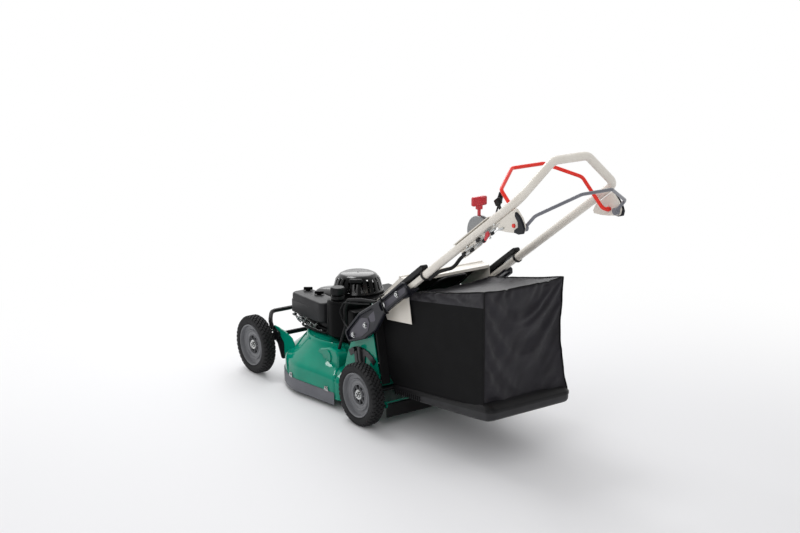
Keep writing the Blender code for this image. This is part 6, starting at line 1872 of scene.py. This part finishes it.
@dataclass
class GrassBag(Assembly):
    """The cloth hood with its stiff side panels, the tray and the mouth frame."""

    half: float = 0.1719
    foot_front: Pair = (0.0745, 0.144)
    mouth_low: Pair = (0.03, 0.19)
    mouth_top: Pair = (-0.014, 0.3905)
    top_front: Pair = (0.165, 0.5075)
    top_rear: Pair = (0.559, 0.5965)
    rear_middle: Pair = (0.579, 0.4)
    rear_foot: Pair = (0.59, 0.208)
    tray_half: float = 0.177
    tray_ends: Pair = (0.067, 0.6095)
    tray_floor: Outline = ((0.06, 0.117), (0.225, 0.1262), (0.568, 0.16), (0.612, 0.1735))
    slack_foot: float = 0.026  # how much farther in the near corner stands
    # Side view of the dark sheet under the cover, which paints the shade on the cover's underside
    cover_shade_outline: Outline = (
        (-0.024, 0.4262), (0.118, 0.5486), (0.156, 0.546), (0.156, 0.545), (0.1185, 0.5474), (-0.0232, 0.425),
    )
    band: float = 0.044  # the loose strip over the top of a stiff side
    cell: float = 0.0095
    frames: int = 26
    piping: float = 0.0021
    seam_inset: float = 0.0009
    cloth_wall: float = 0.0012

    def build(self) -> None:
        """Makes the bag's three parts."""
        self.tray()
        self.shop.refine("bag_frame", "grass_bag", Skin.BLACK_STEEL, 0.0006)
        self.shop.refine("rear_cover", "discharge_cover", Skin.CREAM, 0.0008)
        # The dark sheet under the cover is painted shade on the cover's cream underside
        self.shop.fit(
            slab("cover_painted_shade", side_view(self.cover_shade_outline), Axis.X, -0.1765, 0.1765), "discharge_cover",
            Skin.COVER_SHADE,
        )
        self.hood()
        self.flaps()

    def tray_plan(self, inset: float, corner: float, rear_inset: float = 0.0) -> Outline:
        """Gives the tray's plan, with the same count of points at every inset.

        Args:
            inset: How far inside the tray's outer face.
            corner: The radius of its rear corners.
            rear_inset: How much farther in the rear edge stands.

        Returns:
            Points round the tray; the second half mirrors the first.
        """
        half = self.tray_half - inset
        front, rear = self.tray_ends[0] + inset, self.tray_ends[1] - inset - rear_inset
        nose = 0.012
        line = []
        for k in range(6):
            turn = pi / 2 * k / 5
            line.append((half - nose + nose * sin(turn), front + nose - nose * cos(turn)))
        line += [(half, y) for y in (0.1, 0.16, 0.225, 0.3, 0.38, 0.46, 0.52)]
        for k in range(9):
            turn = pi / 2 * k / 8
            line.append((half - corner + corner * cos(turn), rear - corner + corner * sin(turn)))
        return line + [(-x, y) for x, y in reversed(line)]

    def tray_rim(self, y: float) -> float:
        """Gives the height of the tray's rim, which climbs to the rear."""
        return 0.1475 + 0.1174 * (y - 0.066)

    def tray_bottom(self, y: float) -> float:
        """Gives the height of the tray's floor.

        Args:
            y: A place along the tray.

        Returns:
            The height there.
        """
        for (y0, z0), (y1, z1) in zip(self.tray_floor, self.tray_floor[1:]):
            if y <= y1:
                return z0 + (z1 - z0) * (y - y0) / (y1 - y0)
        return self.tray_floor[-1][1]

    def tray(self) -> None:
        """Makes the grey blow-moulded tray, its black shoulder and the row of ribs at each side's front."""
        mesh = bmesh.new()
        rings = []
        for inset, rim, rise in (
            (0.0045, 0.0, 0.014), (0.0045, -0.002, None), (0.0006, -0.002, None), (0.0006, 0.0, 0.016),
            (0.002, 0.0, 0.0085), (0.0065, 0.0, 0.003), (0.015, 0.0, 0.0006),
        ):
            ring = []
            for x, y in self.tray_plan(inset, 0.03 - inset):
                z = self.tray_rim(y) + rim if rise is None else self.tray_bottom(y) + rise
                ring.append(mesh.verts.new(placed(x, y, z)))
            rings.append(ring)
        bridge(mesh, rings)
        count = len(rings[0])
        for ring in (rings[0], rings[-1]):
            for k in range(count // 2 - 1):
                mesh.faces.new([ring[k], ring[k + 1], ring[count - 2 - k], ring[count - 1 - k]])
        bmesh.ops.recalc_face_normals(mesh, faces=mesh.faces)
        self.shop.fit(from_bmesh("tray_pan", mesh, 50.0), "grass_bag", Skin.TRAY_PLASTIC, ("bag_tray",))
        mesh = bmesh.new()
        outer = self.tray_plan(-0.0012, 0.031)
        inner = self.tray_plan(0.0075, 0.014, 0.03)
        section = []
        for (x, y), (u, v) in zip(outer, inner):
            rise = 0.003 + 0.01 * min(1.0, max(0.0, (y - 0.46) / 0.12))
            rim = self.tray_rim(y)
            section.append([
                mesh.verts.new(placed(*spot)) for spot in (
                    (x, y, rim - 0.0115), (x, y, rim - 0.002), (x * 0.993, y - 0.0012 * (y > 0.5), rim),
                    (u, v, rim + rise), (u, v, rim - 0.004), (x * 0.975, y - 0.004 * (y > 0.5), rim - 0.0115),
                )
            ])
        shoulder = lofted("tray_shoulder", mesh, section + section[:1], 40.0, False)
        self.shop.fit(shoulder, "grass_bag", Skin.BLACK_PLASTIC)
        step = Vector((0, 0.0116, 0.001))
        for side, label in SIDES:
            low, high = sorted((side * 0.176, side * 0.1798))
            rib = block("rib", placed(low, 0.085, 0.1215), placed(high, 0.0886, 0.1395))
            ribs = self.shop.row(rib, 13, step, Skin.BLACK_PLASTIC)
            ribs.name = f"tray_ribs_{label}"
            self.shop.fit(ribs, "grass_bag", Skin.BLACK_PLASTIC)

    def point(self, place: Pair, side: float) -> Vector:
        """Gives a place of the hood's side view at a share of its half width."""
        return placed(side * self.half, *place)

    def steps(self, start: Pair, end: Pair) -> int:
        """Counts the cells between two places of the side view."""
        return max(2, round(dist(start, end) / self.cell))

    def patches(self) -> list[Patch]:
        """Cuts the hood's panels, whose shared edges have the same points.

        Returns:
            Both sides, the slope, the roof and the rear.
        """
        rise = [
            self.steps(self.foot_front, self.mouth_low), self.steps(self.mouth_low, self.mouth_top),
            self.steps(self.mouth_top, self.top_front),
        ]
        tall = sum(rise)
        high = round(tall / 2)
        run = self.steps(self.foot_front, self.rear_foot)
        wide = round(2 * self.half / self.cell)
        made = []
        edges = {}
        for side in (1, -1):
            spot = {name: self.point(getattr(self, name), side) for name in (
                "foot_front", "mouth_low", "mouth_top", "top_front", "top_rear", "rear_middle", "rear_foot"
            )}
            if side > 0:
                spot["rear_foot"].y -= self.slack_foot
                spot["rear_middle"].y -= self.slack_foot * 0.75
            # The far rear corner is slack, so its seam bows in between the tray and the top
            slack = 0.004 if side > 0 else 0.017
            mouth = divided(
                [spot["foot_front"], spot["mouth_low"], spot["mouth_top"], spot["top_front"]], rise,
            )
            rear = divided([spot["rear_foot"], spot["rear_middle"], spot["top_rear"]], [tall - high, high])
            for k, place in enumerate(rear):
                bow = max(0.0, sin(pi * k / tall)) ** 1.2 * slack
                place.x -= side * bow
                place.y -= bow * 0.35
            foot = divided([spot["foot_front"], spot["rear_foot"]], [run])
            roof = divided([spot["top_front"], spot["top_rear"]], [run])
            made.append(Patch("left" if side > 0 else "right", foot, roof, mouth, rear, Skin.PANEL))
            edges[side] = (mouth, rear, roof)
        for name, picked in (("slope", 0), ("roof", 2), ("rear", 1)):
            left, right = edges[1][picked], edges[-1][picked]
            if name == "slope":
                left, right = left[rise[0] + rise[1] :], right[rise[0] + rise[1] :]
            low = divided([left[0], right[0]], [wide])
            top = divided([left[-1], right[-1]], [wide])
            made.append(Patch(name, low, top, left, right, Skin.CLOTH))
        return made

    def hood(self) -> None:
        """Sews the panels, lets the cloth fall, and adds the piping of the seams."""
        mesh = bmesh.new()
        unwrap = mesh.loops.layers.uv.new("weave")
        held = mesh.verts.layers.deform.new()
        for patch in self.patches():
            columns, rows = len(patch.low), len(patch.left)
            grid = [[mesh.verts.new(patch.place(i, j)) for i in range(columns)] for j in range(rows)]
            size = ((patch.low[0] - patch.low[-1]).length, (patch.left[0] - patch.left[-1]).length)
            for j in range(rows):
                for i in range(columns):
                    grid[j][i][held][0] = self.hold(patch, i, j)
            for j in range(rows - 1):
                for i in range(columns - 1):
                    corners = ((i, j), (i + 1, j), (i + 1, j + 1), (i, j + 1))
                    face = mesh.faces.new([grid[b][a] for a, b in corners])
                    for loop, (a, b) in zip(face.loops, corners):
                        loop[unwrap].uv = (size[0] * a / (columns - 1), size[1] * b / (rows - 1))
                    stiff = patch.finish is Skin.PANEL and not self.loose(patch, j + 1.0)
                    face.material_index = 1 if stiff else 0
        bmesh.ops.remove_doubles(mesh, verts=mesh.verts, dist=1e-4)
        bmesh.ops.recalc_face_normals(mesh, faces=mesh.faces)
        piece = from_bmesh("bag_hood", mesh, 60.0)
        piece.vertex_groups.new(name="held")
        for finish in (Skin.CLOTH, Skin.PANEL):
            piece.data.materials.append(self.shop.look(finish))
        rest = [v.co.copy() for v in piece.data.vertices]
        self.fall(piece, rest)
        self.seams(piece, rest)
        wall = piece.modifiers.new("wall", "SOLIDIFY")
        wall.thickness = self.cloth_wall
        wall.offset = -1
        smooth = piece.modifiers.new("smooth", "SUBSURF")
        smooth.levels = smooth.render_levels = 1
        self.shop.fit(piece, "grass_bag", None, ("bag_cloth",))

    def loose(self, patch: Patch, row: float) -> bool:
        """Tells whether a row of a side lies in the loose band along its top.

        Args:
            patch: The side.
            row: The row.

        Returns:
            Whether it is loose.
        """
        share = (len(patch.left) - 1 - row) / (len(patch.left) - 1)
        below = share * (patch.left[-1] - patch.left[0]).length
        return below < self.band

    def hold(self, patch: Patch, i: int, j: int) -> float:
        """Says how firmly a point of a panel is held by its seam, board or frame.

        Args:
            patch: The panel.
            i: The point's column.
            j: The point's row.

        Returns:
            One where it can't move, down to zero where it hangs free.
        """
        columns, rows = len(patch.low) - 1, len(patch.left) - 1
        u = i / columns
        if patch.finish is Skin.PANEL:
            if j == 0 or i == 0:
                return 1.0
            if i == columns:
                return 0.75 if patch.name == "left" else 0.35
            if j == rows:
                return 0.62
            return 0.22 if self.loose(patch, j) else 1.0
        if patch.name == "slope":
            return 1.0 if j == 0 else 0.3
        edge = min(u, 1 - u)
        if patch.name == "roof":
            return 1.0 if j == rows and edge == 0 else (0.62 if edge == 0 else (0.42 if j == rows else 0.0))
        if j == 0 or (j == rows and edge == 0):
            return 1.0
        if edge == 0:
            return 0.75 if u == 0 else 0.35
        return 0.42 if j == rows else 0.0

    def fall(self, piece: Piece, rest: list[Vector]) -> None:
        """Lets the slightly over-long cloth hang from what holds it, within a cap on each side.

        Args:
            piece: The hood, whose mesh is changed.
            rest: Where each of its points lies before it falls.
        """
        firmness = [sum(group.weight for group in vertex.groups) for vertex in piece.data.vertices]
        cloth = piece.modifiers.new("cloth", "CLOTH")
        settings = cloth.settings
        settings.quality = 6
        settings.mass = 0.16
        settings.tension_stiffness = 22
        settings.compression_stiffness = 22
        settings.shear_stiffness = 8
        settings.bending_stiffness = 0.35
        settings.air_damping = 2.0
        settings.shrink_min = -0.018
        settings.vertex_group_mass = "held"
        cloth.collision_settings.use_collision = False
        cloth.point_cache.frame_start = 1
        cloth.point_cache.frame_end = self.frames
        scene = bpy.context.scene
        for frame in range(1, self.frames + 1):
            scene.frame_set(frame)
        graph = bpy.context.evaluated_depsgraph_get()
        data = bpy.data.meshes.new_from_object(piece.evaluated_get(graph))
        piece.modifiers.clear()
        for vertex, start, firm in zip(data.vertices, rest, firmness):
            shift = vertex.co - start + vertex.normal * self.crease(start) * (1.0 - firm)
            side = 1.0 if start.x > 0 else -1.0
            rear = start.y > self.rear_middle[0] - MIDDLE_Y - 0.05
            shift.x = side * self.eased(shift.x * side, 0.018, 0.0035)
            shift.y = self.eased(shift.y, 0.018, 0.007 if rear else 0.002)
            shift.z = self.eased(shift.z, 0.015, 0.0035)
            vertex.co = start + shift
        piece.data = data
        scene.frame_set(1)

    @staticmethod
    def crease(spot: Vector) -> float:
        """Gives the height of the slanted facets that stiff coated cloth breaks into.

        Args:
            spot: A place on the cloth.

        Returns:
            How far it stands out, up to some millimetres either way.
        """
        slanted = Matrix.Rotation(radians(28), 3, "Y") @ spot
        height = 0.0
        for size, depth in ((0.105, 0.008), (0.046, 0.0026)):
            cell = Vector((slanted.x * 1.5, slanted.y * 0.8, slanted.z * 0.8)) / size
            height += (noise.voronoi(cell, distance_metric="MANHATTAN")[0][0] - 0.7) * depth
        return height

    @staticmethod
    def eased(shift: float, inward: float, out: float) -> float:
        """Limits a shift softly, to one reach below zero and another above it."""
        reach = inward if shift < 0 else out
        return reach * tanh(shift / reach)

    def flaps(self) -> None:
        """Makes the padded lips that close the gaps between the mouth and the towers."""
        (low_y, low_z), (top_y, top_z) = self.mouth_low, self.mouth_top
        high = 0.376
        lean = (top_y - low_y) / (top_z - low_z)
        foot = 0.15
        outline = [
            (low_y - lean * (low_z - foot) + 0.002, foot), (low_y - lean * (low_z - foot) + 0.009, foot),
            (low_y + lean * (high - low_z) + 0.009, high), (low_y + lean * (high - low_z) + 0.002, high),
        ]
        for side, label in SIDES:
            span = sorted((side * (self.half - 0.001), side * 0.204))
            lip = slab(f"bag_lip_{label}", side_view(outline), Axis.X, *span)
            self.shop.fit(bevelled(lip, 0.0022, 3), "grass_bag", Skin.RUBBER)

    def seams(self, piece: Piece, rest: list[Vector]) -> None:
        """Runs taped piping along the hood's corner seams, where the fallen cloth has them.

        Args:
            piece: The fallen hood.
            rest: Where each of its points lay before it fell.
        """
        spots = [v.co.copy() for v in piece.data.vertices]
        left, right, *_, rear = self.patches()
        lines = (
            ("roof_seam", left.high), ("corner_seam", left.right), ("roof_seam", right.high),
            ("corner_seam", right.right),
            ("rear_seam", rear.high),
        )
        ropes = []
        for index, (name, line) in enumerate(lines):
            path = []
            for place in line:
                nearest = min(range(len(spots)), key=lambda k: (rest[k] - place).length_squared)
                spot = spots[nearest].copy()
                spot.x -= copysign(self.seam_inset, spot.x)
                path.append(spot)
            ropes.append(tube(f"{name}_{index}", path, self.piping, 0.0, 8))
        self.shop.fit(joined("bag_piping", ropes), "grass_bag", Skin.TAPE)


def main() -> None:
    """Loads the frame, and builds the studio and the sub-assemblies."""
    logging.basicConfig(level=logging.INFO, format="%(message)s")
    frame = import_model()
    shop = Shop(frame)
    Studio().build()
    for assembly in (Wheels, Deck, Engine, Handle, GrassBag):
        assembly(shop).build()
    LOG.info("%d pieces", shop.pieces)


if __name__ == "__main__":
    main()
